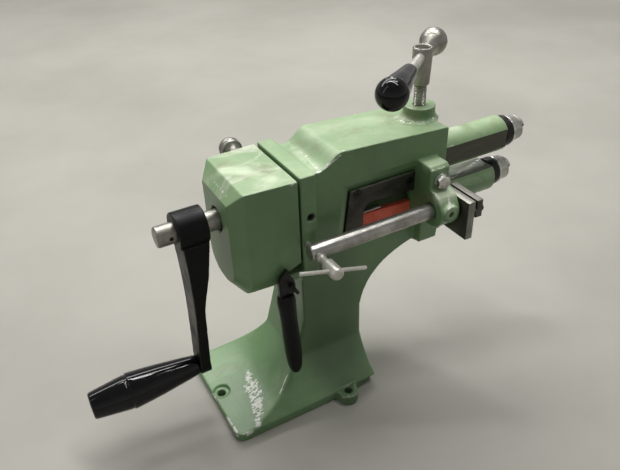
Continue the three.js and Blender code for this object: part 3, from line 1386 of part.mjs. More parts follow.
function frameParts() {
  const pinLength = -FLANGE_FRONT - PIVOT_INSET - ARM_BORE_R - SEAT;
  const backPinLength = FLANGE_BACK - PIVOT_INSET - ARM_BORE_R - SEAT;
  const plateFace = INNER_FACE_Y - SEAT - PLATE_THICK;
  const pinFront = [PIVOT_X, FLANGE_FRONT + PIVOT_INSET, UPPER_Z];
  const pinBack = [PIVOT_X, FLANGE_BACK - PIVOT_INSET, UPPER_Z];
  const stripZ = BAR_Z + BAR_HEIGHT + SEAT;
  const strip = box(0, STRIP_LENGTH, INNER_FACE_Y + 1, INNER_FACE_Y + WALL - 1, 0, STRIP_THICK);
  return [
    piece('body_casting', bodyCasting(), greenPaint),
    piece('gear_cover', gearCover(), greenPaint),
    piece('lower_arm', lowerArm(), greenPaint, [LOWER_ARM_START, 0, LOWER_Z], ALONG_X),
    piece('lower_front_bush', bush(), bronze, [LOWER_ARM_END - BUSH_LENGTH, 0, LOWER_Z], ALONG_X),
    piece('lower_rear_bush', bush(), bronze, [GROOVE, 0, LOWER_Z], ALONG_X),
    piece('pivot_pin_front', pivotPin(pinLength), blackSteel, pinFront, TO_BACK),
    piece('pivot_pin_back', pivotPin(backPinLength), blackSteel, pinBack, TO_FRONT),
    piece('arm_guide_bolt', guideBolt(), brightSteel, [GUIDE_BOLT_X, GUIDE_SEAT_Y, GUIDE_BOLT_Z], TO_FRONT),
    piece(
      'arm_guide_washer',
      tube(WASHER_R, GUIDE_BOLT_R + SEAT, WASHER_THICK),
      brightSteel,
      [GUIDE_BOLT_X, GUIDE_SEAT_Y - SEAT, GUIDE_BOLT_Z],
      TO_FRONT,
    ),
    piece('rod_clamp_screw', clampScrew(), blackSteel, [CLAMP_X, ROD_Y - ROD_R - SEAT, CLAMP_Z], TO_FRONT),
    piece('window_plate', windowPlate(), darkSteel),
    ...plateScrews().map(([x, z], i) => (
      piece(`window_plate_screw_${i + 1}`, screwShape(0), darkSteel, [x, plateFace, z], TO_BACK)
    )),
    piece('red_bar', redBar(), redPaint),
    piece('steel_strip', strip, brightSteel, [OPENING_X0 + 2, 0, stripZ]),
    piece('lift_spring', liftSpring(), blackSteel, [SPRING_X, 0, SPRING_FLOOR_Z + SPRING_WIRE_R + SEAT]),
    piece('lever_pin', leverPin(), blackSteel, [LEVER_X, 0, LEVER_Z], TO_FRONT),
  ];
}

function upperParts() {
  const gripAt = (x) => [x, 0, -CRANK_RADIUS];
  return groupOf(
    [0, 0, UPPER_Z],
    piece('upper_arm', upperArm(), greenPaint, [ARM_START_X, 0, 0], ALONG_X),
    piece('upper_front_bush', bush(), bronze, [UPPER_ARM_END - BUSH_LENGTH, 0, 0], ALONG_X),
    piece('upper_rear_bush', bush(), bronze, [ARM_START_X, 0, 0], ALONG_X),
    piece('upper_shaft', upperShaft(), brightSteel, [0, 0, 0], ALONG_X),
    piece('upper_collar', collar(UPPER_COLLAR_R), blackSteel, [UPPER_ARM_END + SEAT, 0, 0], ALONG_X),
    piece('upper_gear', gear(0), darkSteel, [GEAR_X, 0, 0], ALONG_X),
    piece('upper_gear_key', keyPiece(GEAR_KEY_X1 - GEAR_KEY_X0), brightSteel, [GEAR_KEY_X0, 0, 0], ALONG_X),
    piece('upper_gear_ring', gearRing(), darkSteel, [GEAR_X - GEAR_RING_WIDTH - SEAT, 0, 0], ALONG_X),
    piece('crank_arm', crankArm(), blackPaint),
    piece('crank_key', keyPiece(CRANK_KEY_X1 - CRANK_KEY_X0), brightSteel, [CRANK_KEY_X0, 0, 0], ALONG_X),
    piece('crank_grip', crankGrip(), blackPlastic, gripAt(CRANK_HUB_X - SEAT), [-1, 0, 0]),
    piece('crank_grip_pin', gripPin(), brightSteel, gripAt(CRANK_HUB_X + CRANK_EYE_THICK + SEAT), [-1, 0, 0]),
  );
}

function lowerParts() {
  return groupOf(
    [0, 0, LOWER_Z],
    piece('lower_shaft', lowerShaft(), brightSteel, [0, 0, 0], ALONG_X),
    piece('lower_collar', collar(LOWER_COLLAR_R), blackSteel, [LOWER_ARM_END + SEAT, 0, 0], ALONG_X),
    piece('lower_gear', gear(0.5), darkSteel, [GEAR_X, 0, 0], ALONG_X),
    piece('lower_gear_key', keyPiece(GEAR_KEY_X1 - GEAR_KEY_X0), brightSteel, [GEAR_KEY_X0, 0, 0], ALONG_X),
    piece('lower_gear_nut', lowerGearNut(), darkSteel, [GEAR_X - GEAR_NUT_THICK / 2 - SEAT, 0, 0], ALONG_X),
  );
}

function pressureParts() {
  const toWeight = HANDLE_DIRECTION.map((v) => -v);
  const handle = groupOf(
    [0, 0, HANDLE_Z],
    piece('handle_bar', handleBar(), brightSteel, [0, 0, 0], HANDLE_DIRECTION),
    piece('handle_grip', handleGrip(), blackPlastic, alongHandle(GRIP_START), HANDLE_DIRECTION),
    piece('handle_weight', handleWeight(), brightSteel, alongHandle(-WEIGHT_START), toWeight),
  );
  return groupOf(
    [SCREW_X, 0, 0],
    piece('pressure_shoe', pressureShoe(), darkSteel, [0, 0, ARM_TOP_Z + SEAT]),
    piece('pressure_spindle', spindle(), brightSteel, [0, 0, SPINDLE_Z]),
    piece('screw_head', screwHead(), brightSteel, [0, 0, HEAD_Z]),
    handle,
  );
}

function alongHandle(distance) {
  return new THREE.Vector3(...HANDLE_DIRECTION).normalize().multiplyScalar(distance).toArray();
}

function gaugeParts() {
  const screwX = STOP_X2 + STOP_THICK + SEAT;
  const rodScrew = screwX - ROD_END + 1.3 * ROD_R;
  const blockScrew = screwX - STOP_X0 - 0.5;
  const barDirection = [
    Math.cos(THREE.MathUtils.degToRad(T_BAR_TILT)),
    0,
    -Math.sin(THREE.MathUtils.degToRad(T_BAR_TILT)),
  ];
  const bar = rod(T_BAR_R, T_BAR_LENGTH, 12).translate(0, 0, -T_BAR_LENGTH / 2);
  const tip = [0, FLANGE_FRONT - SEAT - ROD_Y, 0];
  const screw = piece('clamping_screw', clampingScrew(), brightSteel, tip, TO_FRONT);
  const clamping = groupOf(
    [T_X, 0, 0],
    tiltedAboutY(screw),
    piece('clamping_screw_bar', bar, brightSteel, [0, T_HEAD_Y - T_BAR_PLACE - ROD_Y, 0], barDirection),
  );
  return groupOf(
    [0, ROD_Y, ROD_Z],
    piece('gauge_rod', gaugeRod(), brightSteel, [ROD_START, 0, 0], ALONG_X),
    piece('stop_block', stopPlate(STOP_BLOCK_DROP), darkSteel, [STOP_X0, 0, 0]),
    piece('stop_plate', stopPlate(STOP_PLATE_DROP), darkSteel, [STOP_X2, 0, 0]),
    piece('stop_screw_1', capScrew(rodScrew), blackSteel, [screwX, 0, 0], ALONG_X),
    piece('stop_screw_2', capScrew(blockScrew), blackSteel, [screwX, -STOP_SCREW_SPACING, 0], ALONG_X),
    clamping,
  );
}

// Turns the screw so that its cross hole lies along its bar
function tiltedAboutY(mesh) {
  mesh.rotateZ(THREE.MathUtils.degToRad(-T_BAR_TILT));
  return mesh;
}

function leverParts() {
  const lever = groupOf(
    [LEVER_X, LEVER_Y, LEVER_Z],
    piece('align_lever', leverBlade(), blackSteel),
    piece('align_lever_grip', leverGrip(), blackPlastic, [-LEVER_OFFSET, 0, -LEVER_LENGTH]),
  );
  lever.rotation.y = THREE.MathUtils.degToRad(-LEVER_LEAN);
  return lever;
}

function knobPart() {
  return piece('cover_knob', coverKnob(), brightSteel, [KNOB_X, KNOB_SEAT_Y, KNOB_Z], TO_BACK);
}

const machine = new THREE.Group();
machine.add(
  ...frameParts(),
  knobPart(),
  upperParts(),
  lowerParts(),
  pressureParts(),
  gaugeParts(),
  leverParts(),
);

export default machine;
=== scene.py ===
import math

import bmesh
import bpy
from mathutils import Matrix, Vector, noise


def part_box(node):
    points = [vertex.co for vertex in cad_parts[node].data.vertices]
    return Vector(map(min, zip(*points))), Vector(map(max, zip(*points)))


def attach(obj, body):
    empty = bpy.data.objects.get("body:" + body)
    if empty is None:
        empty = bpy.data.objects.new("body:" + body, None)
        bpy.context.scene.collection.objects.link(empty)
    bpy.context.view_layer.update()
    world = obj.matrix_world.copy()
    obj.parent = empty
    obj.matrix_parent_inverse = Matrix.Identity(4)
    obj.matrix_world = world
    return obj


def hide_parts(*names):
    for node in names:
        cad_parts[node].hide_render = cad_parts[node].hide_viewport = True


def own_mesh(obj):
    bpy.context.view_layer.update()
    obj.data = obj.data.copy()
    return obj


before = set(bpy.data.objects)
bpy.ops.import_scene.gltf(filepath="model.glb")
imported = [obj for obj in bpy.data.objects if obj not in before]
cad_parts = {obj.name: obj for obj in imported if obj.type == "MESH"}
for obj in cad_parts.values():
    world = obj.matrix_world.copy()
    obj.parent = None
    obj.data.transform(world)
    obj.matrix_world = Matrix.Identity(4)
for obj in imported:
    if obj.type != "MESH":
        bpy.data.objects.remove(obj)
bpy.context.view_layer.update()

MM = 0.001
X = Vector((1, 0, 0))
Y = Vector((0, 1, 0))
Z = Vector((0, 0, 1))


def span(node):
    """Lowest and highest corner of a CAD node in millimetres."""
    low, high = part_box(node)
    return low / MM, high / MM


# Driving sizes of the machine, in millimetres, as in the solids
LOWER_Z = 228
UPPER_Z = 288
SHAFT_R = 12.7
ARM_R = 25
GROOVE = 1.5
FLANGE_X1 = 21.5
FLANGE_TOP_Z = 343
FLANGE_BOTTOM_Z = 192
FLANGE_FRONT = -57
FLANGE_BACK = 55
BLOCK_HALF = 45
BLOCK_END = 219
BLOCK_TOP_Z = 354
BLOCK_TOP_FALL = 8
BLOCK_BOTTOM_Z = 196
NECK_Z = 336.5
COLUMN_X = 4
COLUMN_BACK_X = 91.5
BASE_THICK = 13
BASE_X0 = -118.6
BASE_X1 = 93.8
BASE_HALF = 83.5
EAR = Vector((43.7, 89.6, 0))
EAR_R = 14
SCREW_X = 206
LUG_X0 = 174
LUG_X1 = 203
FLATS_X = 226
PIVOT_X = 14
CRANK_REACH = 208
BOLT_HOLE_X = -107
ROD_Y = -75.9
ROD_Z = 254.5
CLAMP_X = 188
CLAMP_Z = 256.5
GUIDE_BOLT = Vector((189, -72, 292))
RAMP_END_X = 64
ROD_END_SCREW_X = 6.5
STOP_SCREWS_APART = 26
HANDLE_Z = 426.5


# ---- shapes


def rounded(points, radius, steps=3, closed=False):
    """The outline with each corner turned into a short arc."""
    points = [Vector(p) for p in points]
    count = len(points)
    result = []
    for i, corner in enumerate(points):
        if not closed and i in (0, count - 1):
            result.append(corner)
            continue
        before = points[i - 1] - corner
        after = points[(i + 1) % count] - corner
        reach = min(radius, 0.45 * before.length, 0.45 * after.length)
        straight = before.angle(after, math.pi) > math.radians(165)
        if reach < 0.01 or straight:
            result.append(corner)
            continue
        start = corner + before.normalized() * reach
        end = corner + after.normalized() * reach
        for step in range(steps + 1):
            t = step / steps
            result.append((1 - t) ** 2 * start + 2 * t * (1 - t) * corner + t * t * end)
    return [tuple(p) for p in result]


def arc(centre, radius, first, last, steps):
    """Points of an arc by its centre, radius and two angles in degrees."""
    angles = [math.radians(first + (last - first) * i / steps) for i in range(steps + 1)]
    return [(centre[0] + radius * math.cos(a), centre[1] + radius * math.sin(a)) for a in angles]


def curve(start, one, two, end, steps=16):
    """Points of a Bezier curve after its start."""
    points = []
    for i in range(1, steps + 1):
        t = i / steps
        points.append(
            tuple(
                (1 - t) ** 3 * a + 3 * t * (1 - t) ** 2 * b + 3 * t * t * (1 - t) * c + t**3 * d
                for a, b, c, d in zip(start, one, two, end)
            )
        )
    return points


def outward(bm):
    """Turns every face to point out of its shape."""
    bmesh.ops.recalc_face_normals(bm, faces=bm.faces[:])
    return bm


def capped(bm):
    """Closes the open ends of a shape."""
    bmesh.ops.holes_fill(bm, edges=bm.edges[:], sides=0)
    return outward(bm)


def spun(bm, steps, turns=1, rise=0.0):
    """Spins a line or section about Z into a ring, or into a helix that rises."""
    geom = bm.verts[:] + bm.edges[:]
    angle, step_up = 2 * math.pi * turns, (0, 0, rise / steps)
    bmesh.ops.spin(
        bm, geom=geom, cent=(0, 0, 0), axis=Z, dvec=step_up, angle=angle, steps=steps, use_merge=not rise
    )
    return bm


def turned(profile, steps=64, soft=0.6):
    """Solid of revolution about Z from a list of (radius, height)."""
    bm = bmesh.new()
    verts = [bm.verts.new((r, 0, z)) for r, z in rounded(profile, soft)]
    for pair in zip(verts, verts[1:]):
        bm.edges.new(pair)
    spun(bm, steps)
    bmesh.ops.remove_doubles(bm, verts=bm.verts[:], dist=1e-4)
    return outward(bm)


def ring(profile, steps=64, soft=0.6):
    """Solid of revolution about Z from a closed outline that stays off the axis."""
    outline = rounded(profile, soft, closed=True)
    return turned(outline + outline[:1], steps, 0)


def rod(radius, length, steps=48, chamfer=0.0):
    """Round bar along +Z."""
    side = [(radius - chamfer, 0), (radius, chamfer), (radius, length - chamfer), (radius - chamfer, length)]
    side = side if chamfer else [side[0], side[3]]
    return turned([(0, 0)] + side + [(0, length)], steps, 0.3 if chamfer else 0)


def extruded(outline, depth, plane="xy"):
    """Outline pushed along +Z, or drawn in XZ and pushed along +Y, or in YZ and pushed along +X."""
    across, up, way = {"xy": (X, Y, Z), "xz": (X, Z, Y), "yz": (Y, Z, X)}[plane]
    bm = bmesh.new()
    face = bm.faces.new([bm.verts.new(a * across + b * up) for a, b in outline])
    grown = bmesh.ops.extrude_face_region(bm, geom=[face])["geom"]
    grown = [v for v in grown if isinstance(v, bmesh.types.BMVert)]
    bmesh.ops.translate(bm, verts=grown, vec=way * depth)
    return outward(bm)


def lofted(rings):
    """Rings of equal point count bridged into one closed solid."""
    bm = bmesh.new()
    loops = []
    for points in rings:
        verts = [bm.verts.new(p) for p in points]
        loops.append([bm.edges.new((a, b)) for a, b in zip(verts, verts[1:] + verts[:1])])
    for one, two in zip(loops, loops[1:]):
        bmesh.ops.bridge_loops(bm, edges=one + two)
    return capped(bm)


def block(x0, x1, y0, y1, z0, z1):
    bm = bmesh.new()
    bmesh.ops.create_cube(bm, size=1)
    bmesh.ops.scale(bm, vec=(x1 - x0, y1 - y0, z1 - z0), verts=bm.verts[:])
    return moved(bm, (x0 + x1) / 2, (y0 + y1) / 2, (z0 + z1) / 2)


def moved(bm, x=0, y=0, z=0):
    bmesh.ops.translate(bm, vec=(x, y, z), verts=bm.verts[:])
    return bm


def aimed(bm, at, direction):
    """Turns a shape drawn along +Z to a direction and sets its start at a point."""
    turn = Z.rotation_difference(Vector(direction).normalized()).to_matrix().to_4x4()
    bmesh.ops.transform(bm, matrix=Matrix.Translation(at) @ turn, verts=bm.verts[:])
    return bm


def bar(sizes, at, way):
    """Round bar by radius, length and steps, from a point along a direction."""
    return aimed(rod(*sizes), at, way)


def softened(bm, offset, sharper=30):
    """Bevels the edges that turn more than an angle."""
    limit = math.radians(sharper)
    sharp = [e for e in bm.edges if len(e.link_faces) == 2 and e.calc_face_angle() > limit]
    how = {"profile": 0.5, "affect": "EDGES", "clamp_overlap": True, "material": -1}
    bmesh.ops.bevel(bm, geom=sharp, offset=offset, segments=2, **how)
    return bm


def working(bm):
    """A temporary object for the modifiers."""
    mesh = bpy.data.meshes.new("work")
    bm.to_mesh(mesh)
    bm.free()
    obj = bpy.data.objects.new("work", mesh)
    bpy.context.scene.collection.objects.link(obj)
    return obj


def settled(obj):
    """Bakes a temporary object's modifiers into its mesh."""
    depsgraph = bpy.context.evaluated_depsgraph_get()
    depsgraph.update()
    mesh = bpy.data.meshes.new_from_object(obj.evaluated_get(depsgraph))
    obj.modifiers.clear()
    obj.data = mesh
    return obj


def taken(obj):
    """The temporary object's shape, with the object itself removed."""
    bm = bmesh.new()
    bm.from_mesh(obj.data)
    bpy.data.objects.remove(obj)
    return bm


def combined(operation, body, *others):
    base = working(body)
    for other in others:
        tool = working(other)
        change = base.modifiers.new("boolean", "BOOLEAN")
        change.operation = operation
        change.object = tool
        change.solver = "EXACT"
        settled(base)
        bpy.data.objects.remove(tool)
    return taken(base)


def fused(body, *others):
    return combined("UNION", body, *others)


def cut(body, *others):
    return combined("DIFFERENCE", body, *others)


def common(body, *others):
    return combined("INTERSECT", body, *others)


def cast(bm, grain, smoothing, share):
    """Rounds every edge of a shape as sand casting and paint do, then thins its faces."""
    obj = working(bm)
    remesh = obj.modifiers.new("remesh", "REMESH")
    remesh.mode = "VOXEL"
    remesh.voxel_size = grain * 1.0
    smooth = obj.modifiers.new("smooth", "SMOOTH")
    smooth.factor = 0.5
    smooth.iterations = smoothing
    thin = obj.modifiers.new("thin", "DECIMATE")
    thin.ratio = share
    return taken(settled(obj))


def piece(name, bm, body, materials, stands_for=(), crease=35, choose=None):
    """Finishes a shape as an object of the scene that rides on a CAD body."""
    bmesh.ops.scale(bm, vec=(MM, MM, MM), verts=bm.verts[:])
    if choose:
        for face in bm.faces:
            face.material_index = choose(face.calc_center_median() / MM, face.normal)
    mesh = bpy.data.meshes.new(name)
    bm.to_mesh(mesh)
    bm.free()
    mesh.polygons.foreach_set("use_smooth", [True] * len(mesh.polygons))
    mesh.set_sharp_from_angle(angle=math.radians(crease))
    obj = bpy.data.objects.new(name, mesh)
    bpy.context.scene.collection.objects.link(obj)
    for material in materials if isinstance(materials, (list, tuple)) else [materials]:
        mesh.materials.append(material)
    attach(obj, body)
    if stands_for:
        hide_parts(*stands_for)
    return obj


# ---- finishes


def tone(red, green, blue):
    """A colour read as the eye sees it, for the shader."""
    return tuple(((c / 255 + 0.055) / 1.055) ** 2.4 for c in (red, green, blue)) + (1.0,)


def fill(tree, socket, value):
    """Links an input to a pattern, or sets it to a plain value."""
    if isinstance(value, bpy.types.NodeSocket):
        tree.links.new(value, socket)
    else:
        socket.default_value = value


def made(tree, kind, sockets, output=0, **settings):
    """The output of a new node, its inputs given by name or number."""
    node = tree.nodes.new("ShaderNode" + kind)
    for key, value in settings.items():
        setattr(node, key, value)
    for key, value in sockets.items():
        fill(tree, node.inputs[key], value)
    return node.outputs[output]


class Finish:
    """A material built up from patterns in the object's own coordinates."""

    def __init__(self, name):
        self.material = bpy.data.materials.new(name)
        self.material.use_nodes = True
        self.tree = self.material.node_tree
        place = self.tree.nodes.new("ShaderNodeTexCoord").outputs
        self.place, self.normal = place["Object"], place["Normal"]

    def made(self, kind, sockets, output=0, **settings):
        return made(self.tree, kind, sockets, output, **settings)

    def grain(self, scale, detail=4, rough=0.55, stretch=(1, 1, 1), warp=0.0, turn=(0, 0, 0)):
        """Cloudy noise from 0 to 1."""
        at = self.made("Mapping", {"Vector": self.place, "Scale": stretch, "Rotation": turn})
        sizes = {"Vector": at, "Scale": scale, "Detail": detail, "Roughness": rough, "Distortion": warp}
        return self.made("TexNoise", sizes, "Fac")

    def patches(self, low, high, *grain, **more):
        """Patches of cloudy noise, nothing below the low value and one above the high one."""
        return self.between(self.grain(*grain, **more), low, high)

    def cells(self, scale):
        """Distance to the nearest of many scattered dots."""
        return self.made("TexVoronoi", {"Vector": self.place, "Scale": scale}, "Distance")

    def between(self, value, low, high, out_low=0.0, out_high=1.0):
        """Smooth change from one number to another while a value goes from low to high."""
        ends = {"Value": value, "From Min": low, "From Max": high, "To Min": out_low, "To Max": out_high}
        return self.made("MapRange", ends, "Result", interpolation_type="SMOOTHSTEP")

    def sum(self, operation, one, two):
        return self.made("Math", {0: one, 1: two}, operation=operation)

    def times(self, product, *factors):
        for factor in factors:
            product = self.sum("MULTIPLY", product, factor)
        return product

    def blend(self, share, one, two):
        return self.made("Mix", {0: share, 6: one, 7: two}, 2, data_type="RGBA")

    def clouded(self, pattern, low, high, one, two):
        """Two colours mixed by a pattern."""
        return self.blend(self.between(pattern, low, high), tone(*one), tone(*two))

    def tint(self, base, colour, *shares):
        """The base with a colour over it, as strong as the shares multiplied."""
        return self.blend(self.times(*shares), base, tone(*colour))

    def upward(self):
        """How far the surface faces up, from -1 to 1."""
        return self.made("SeparateXYZ", {0: self.normal}, "Z")

    def height(self):
        return self.made("SeparateXYZ", {0: self.place}, "Z")

    def vector(self, operation, one, two, output="Value"):
        return self.made("VectorMath", {0: one, 1: two}, output, operation=operation)

    def near(self, centre, radius):
        """One at a place on the object, falling to nothing at a radius, in millimetres."""
        apart = self.vector("DISTANCE", self.place, Vector(centre) * MM)
        return self.between(apart, radius * MM, 0.4 * radius * MM)

    def beside(self, start, end, radius):
        """One along a line on the object, falling to nothing at a radius, in millimetres."""
        start, way = Vector(start) * MM, (Vector(end) - Vector(start)) * MM
        gone = self.vector("SUBTRACT", self.place, start, "Vector")
        share = self.made("Clamp", {"Value": self.vector("DOT_PRODUCT", gone, way / way.length_squared)})
        foot = self.made("VectorMath", {0: way, "Scale": share}, operation="SCALE")
        return self.between(self.vector("DISTANCE", gone, foot), radius * MM, 0.25 * radius * MM)

    def edges(self, low, high):
        """One on outer edges, or in hollows when low is above high."""
        return self.between(self.made("NewGeometry", {}, "Pointiness"), low, high)

    def bump(self, height, strength, depth):
        return self.made("Bump", {"Height": height, "Strength": strength, "Distance": depth * MM})

    def done(self, colour, rough, metal=0.0, normal=None, coat=0.0, coat_rough=0.1, specular=0.5):
        sockets = {"Base Color": colour, "Roughness": rough, "Metallic": metal, "Normal": normal}
        sockets |= {"Specular IOR Level": specular, "Coat Weight": coat, "Coat Roughness": coat_rough}
        for name, value in sockets.items():
            if value is not None:
                fill(self.tree, self.tree.nodes["Principled BSDF"].inputs[name], value)
        return self.material


def green_enamel(name, chips=(), stains=(), pale=(), painted_sheen=0.12, painted_shade=()):
    """Reseda green enamel: stained on top, rubbed at edges, chipped at given places; painted light makes
    tops pale and hazy and edges and given places paler, painted shade darkens hollows and given places.
    """
    f = Finish(name)
    cloud = f.grain(9, 5, 0.6)
    base = f.clouded(cloud, 0.35, 0.7, (108, 143, 97), (124, 158, 111))
    # Painted light: faces that face up, more so high up, are tinted paler as if lit from above.
    up = f.between(f.upward(), 0.2, 0.9)
    patchy = f.between(f.grain(14, 6, 0.62, warp=0.4), 0.3, 0.75, 0.45, 0.95)
    high = f.between(f.height(), 0.06, 0.3, 0.1, 1.0)
    base = f.tint(base, (163, 188, 143), up, patchy, high)
    # Painted sheen: pale streaks on faces that face up stand for a glossy highlight.
    smears = f.grain(15, 6, 0.62, stretch=(1, 2.2, 1), warp=0.9, turn=(0, 0, 0.45))
    base = f.tint(base, (212, 216, 196), up, f.between(smears, 0.45, 0.72), painted_sheen)
    stain = f.patches(0.56, 0.72, 22, 5, 0.6, warp=0.8)
    base = f.tint(base, (124, 128, 90), up, stain, 0.4)
    brown = f.patches(0.36, 0.62, 45, 5, 0.65, warp=0.6)
    for place, radius in stains:
        base = f.tint(base, (136, 134, 104), f.near(place, radius), brown, 0.55)
    # Painted light: pale patches along the given lines stand for light and sheen falling on those faces.
    painted_light_breakup = f.between(f.grain(30, 6, 0.66, stretch=(0.5, 1, 1), warp=0.7), 0.3, 0.58, 0.15, 1.0)
    for *line, strength in pale:
        base = f.tint(base, (204, 220, 187), f.beside(*line), painted_light_breakup, strength)
    base = f.tint(base, (70, 92, 62), f.patches(0.6, 0.8, 38, 6, 0.7), 0.3)
    # Painted shade: darker green along the given lines, where shade falls.
    for *line, strength in painted_shade:
        base = f.tint(base, (72, 92, 66), f.beside(*line), strength)
    pits = f.between(f.cells(160), 0.09, 0.05)
    base = f.tint(base, (44, 52, 38), pits, f.patches(0.55, 0.6, 19, 2), 0.7)
    # Painted shade: darker green in hollows.
    base = f.tint(base, (58, 72, 50), f.edges(0.487, 0.44), f.patches(0.3, 0.6, 60, 5), 0.5)
    # Paler outer edges: partly rubbed paint, partly painted highlight.
    edge = f.edges(0.525, 0.6)
    base = f.tint(base, (196, 208, 178), edge, f.patches(0.35, 0.6, 50, 5, 0.6), 0.45)
    specks = f.between(f.cells(420), 0.16, 0.08)
    base = f.tint(base, (200, 206, 188), specks, f.patches(0.56, 0.68, 60, 3), 0.6)
    bare = f.times(edge, f.between(f.grain(24, 3), 0.56, 0.66, 0.0, 0.55))
    for *line, strength in chips:
        bare = f.sum("MAXIMUM", bare, f.times(f.beside(*line), strength))
    flakes = f.grain(340, 5, 0.66, stretch=(0.4, 1, 1), warp=0.3, turn=(0, 0, 0.7))
    flakes = f.sum("ADD", flakes, f.times(bare, 0.21))
    chipped = f.times(f.between(flakes, 0.655, 0.675), f.between(bare, 0.02, 0.12))
    base = f.tint(base, (236, 238, 228), chipped)
    height = f.sum("ADD", f.times(f.grain(330, 2, 0.5), 0.35), f.grain(28, 3, 0.5))
    height = f.bump(f.sum("SUBTRACT", height, f.times(chipped, 0.4)), 0.25, 0.8)
    return f.done(base, f.between(cloud, 0.3, 0.75, 0.34, 0.5), normal=height, coat=0.18, coat_rough=0.22)


def black_enamel():
    f = Finish("black_enamel")
    dust = f.patches(0.5, 0.8, 60, 6, 0.7)
    base = f.blend(f.times(dust, 0.4), tone(8, 9, 9), tone(26, 27, 26))
    scuffs = f.patches(0.66, 0.74, 260, 4, 0.7, stretch=(1, 1, 0.15))
    base = f.tint(base, (84, 84, 80), scuffs, 0.3)
    rubbed = f.times(f.edges(0.51, 0.56), f.patches(0.4, 0.6, 70, 5))
    base = f.tint(base, (112, 104, 92), rubbed, 0.5)
    rough = f.between(f.grain(35, 5), 0.3, 0.7, 0.3, 0.5)
    height = f.bump(f.grain(240, 3), 0.15, 0.4)
    return f.done(base, rough, normal=height, coat=0.04, coat_rough=0.25, specular=0.15)


def black_plastic(name, low, high, specular):
    """Moulded black plastic with finger marks in its gloss."""
    f = Finish(name)
    swirl = f.grain(45, 5, 0.6)
    base = f.clouded(swirl, 0.4, 0.8, (9, 10, 10), (18, 19, 19))
    dust = f.between(f.cells(520), 0.1, 0.05)
    base = f.tint(base, (120, 120, 116), dust, 0.25)
    smears = f.between(f.grain(90, 5, 0.65, warp=1.0), 0.35, 0.75, low, high)
    return f.done(base, smears, normal=f.bump(f.grain(60, 2), 0.03, 0.3), specular=specular)


def blackened_steel():
    f = Finish("blackened_steel")
    cloud = f.grain(70, 6, 0.65)
    base = f.clouded(cloud, 0.35, 0.75, (30, 30, 30), (54, 53, 51))
    rubbed = f.patches(0.62, 0.74, 210, 5, 0.7)
    base = f.tint(base, (112, 108, 103), rubbed, 0.5)
    rough = f.between(cloud, 0.3, 0.8, 0.32, 0.52)
    return f.done(base, rough, 0.6, f.bump(f.grain(400, 4), 0.2, 0.3))


def turned_steel(name, light, dark, spots, rough_low, rough_high, stretch=(1, 1, 1), metal=1.0):
    """Worn steel with fine scratches, dull patches and small dark spots."""
    f = Finish(name)
    cloud = f.grain(40, 6, 0.65)
    base = f.clouded(cloud, 0.3, 0.75, light, dark)
    ticks = f.patches(0.45, 0.7, 500, 3, 0.6, stretch=stretch)
    base = f.tint(base, (226, 224, 218), ticks, 0.12)
    marks = f.patches(0.61, 0.72, 200, 6, 0.7, warp=0.5)
    base = f.tint(base, (70, 66, 58), marks, spots)
    scratches = f.grain(900, 3, 0.6, stretch=stretch)
    rough = f.between(cloud, 0.3, 0.75, rough_low, rough_high)
    return f.done(base, rough, metal, f.bump(scratches, 0.04, 0.08))


def oxidised_steel(name, low, high, body, shine):
    """Dark flat steel with a painted highlight towards its top."""
    f = Finish(name)
    cloud = f.grain(55, 6, 0.7)
    base = f.clouded(cloud, 0.3, 0.75, body, (78, 76, 70))
    rubbed = f.patches(0.6, 0.74, 180, 6, 0.75, stretch=(1, 1, 0.3))
    base = f.tint(base, (140, 138, 130), rubbed, 0.4)
    specks = f.between(f.cells(330), 0.09, 0.04)
    base = f.tint(base, (210, 210, 202), specks)
    # Painted highlight: a paler band between two heights, where light falls on the top edge.
    lit = f.between(f.height(), low * MM, high * MM)
    base = f.tint(base, (186, 184, 174), lit, shine)
    rough = f.between(cloud, 0.3, 0.8, 0.36, 0.56)
    return f.done(base, rough, 0.7, f.bump(f.grain(300, 4), 0.15, 0.3))


def milled_flat(name, light, dark, rubs=()):
    """Bare milled flat with bright streaks and dark marks along the arm."""
    f = Finish(name)
    streaks = f.grain(150, 5, 0.65, stretch=(0.14, 1, 1))
    base = f.clouded(streaks, 0.42, 0.62, dark, light)
    blots = f.patches(0.56, 0.7, 85, 6, 0.7, warp=0.6)
    base = f.tint(base, (64, 60, 50), blots, 0.35)
    scratches = f.patches(0.44, 0.52, 300, 5, 0.7, stretch=(0.16, 1, 1))
    for rub in rubs:
        base = f.tint(base, (244, 244, 236), f.beside(*rub), scratches)
    rough = f.between(streaks, 0.3, 0.7, 0.34, 0.5)
    return f.done(base, rough, 0.6, f.bump(f.grain(420, 2, stretch=(0.1, 1, 1)), 0.15, 0.2))


def plated_steel():
    f = Finish("plated_steel")
    cloud = f.grain(120, 4)
    base = f.clouded(cloud, 0.35, 0.7, (226, 226, 222), (190, 189, 184))
    return f.done(base, f.between(cloud, 0.3, 0.7, 0.22, 0.34), 1.0, f.bump(cloud, 0.08, 0.2))


def bronze_bush():
    f = Finish("bronze_bush")
    pores = f.between(f.cells(700), 0.2, 0.1)
    base = f.clouded(f.grain(70), 0.3, 0.7, (182, 136, 74), (150, 106, 56))
    base = f.tint(base, (84, 58, 34), pores, 0.5)
    return f.done(base, 0.42, 1.0, f.bump(pores, 0.2, 0.1))


def red_enamel():
    f = Finish("red_enamel")
    cloud = f.grain(60, 6, 0.65)
    base = f.clouded(cloud, 0.3, 0.7, (234, 98, 76), (246, 118, 92))
    grime = f.patches(0.55, 0.75, 110, 6, 0.7)
    base = f.tint(base, (84, 36, 28), grime, 0.5)
    return f.done(base, f.between(cloud, 0.3, 0.7, 0.4, 0.55), normal=f.bump(cloud, 0.15, 0.4))


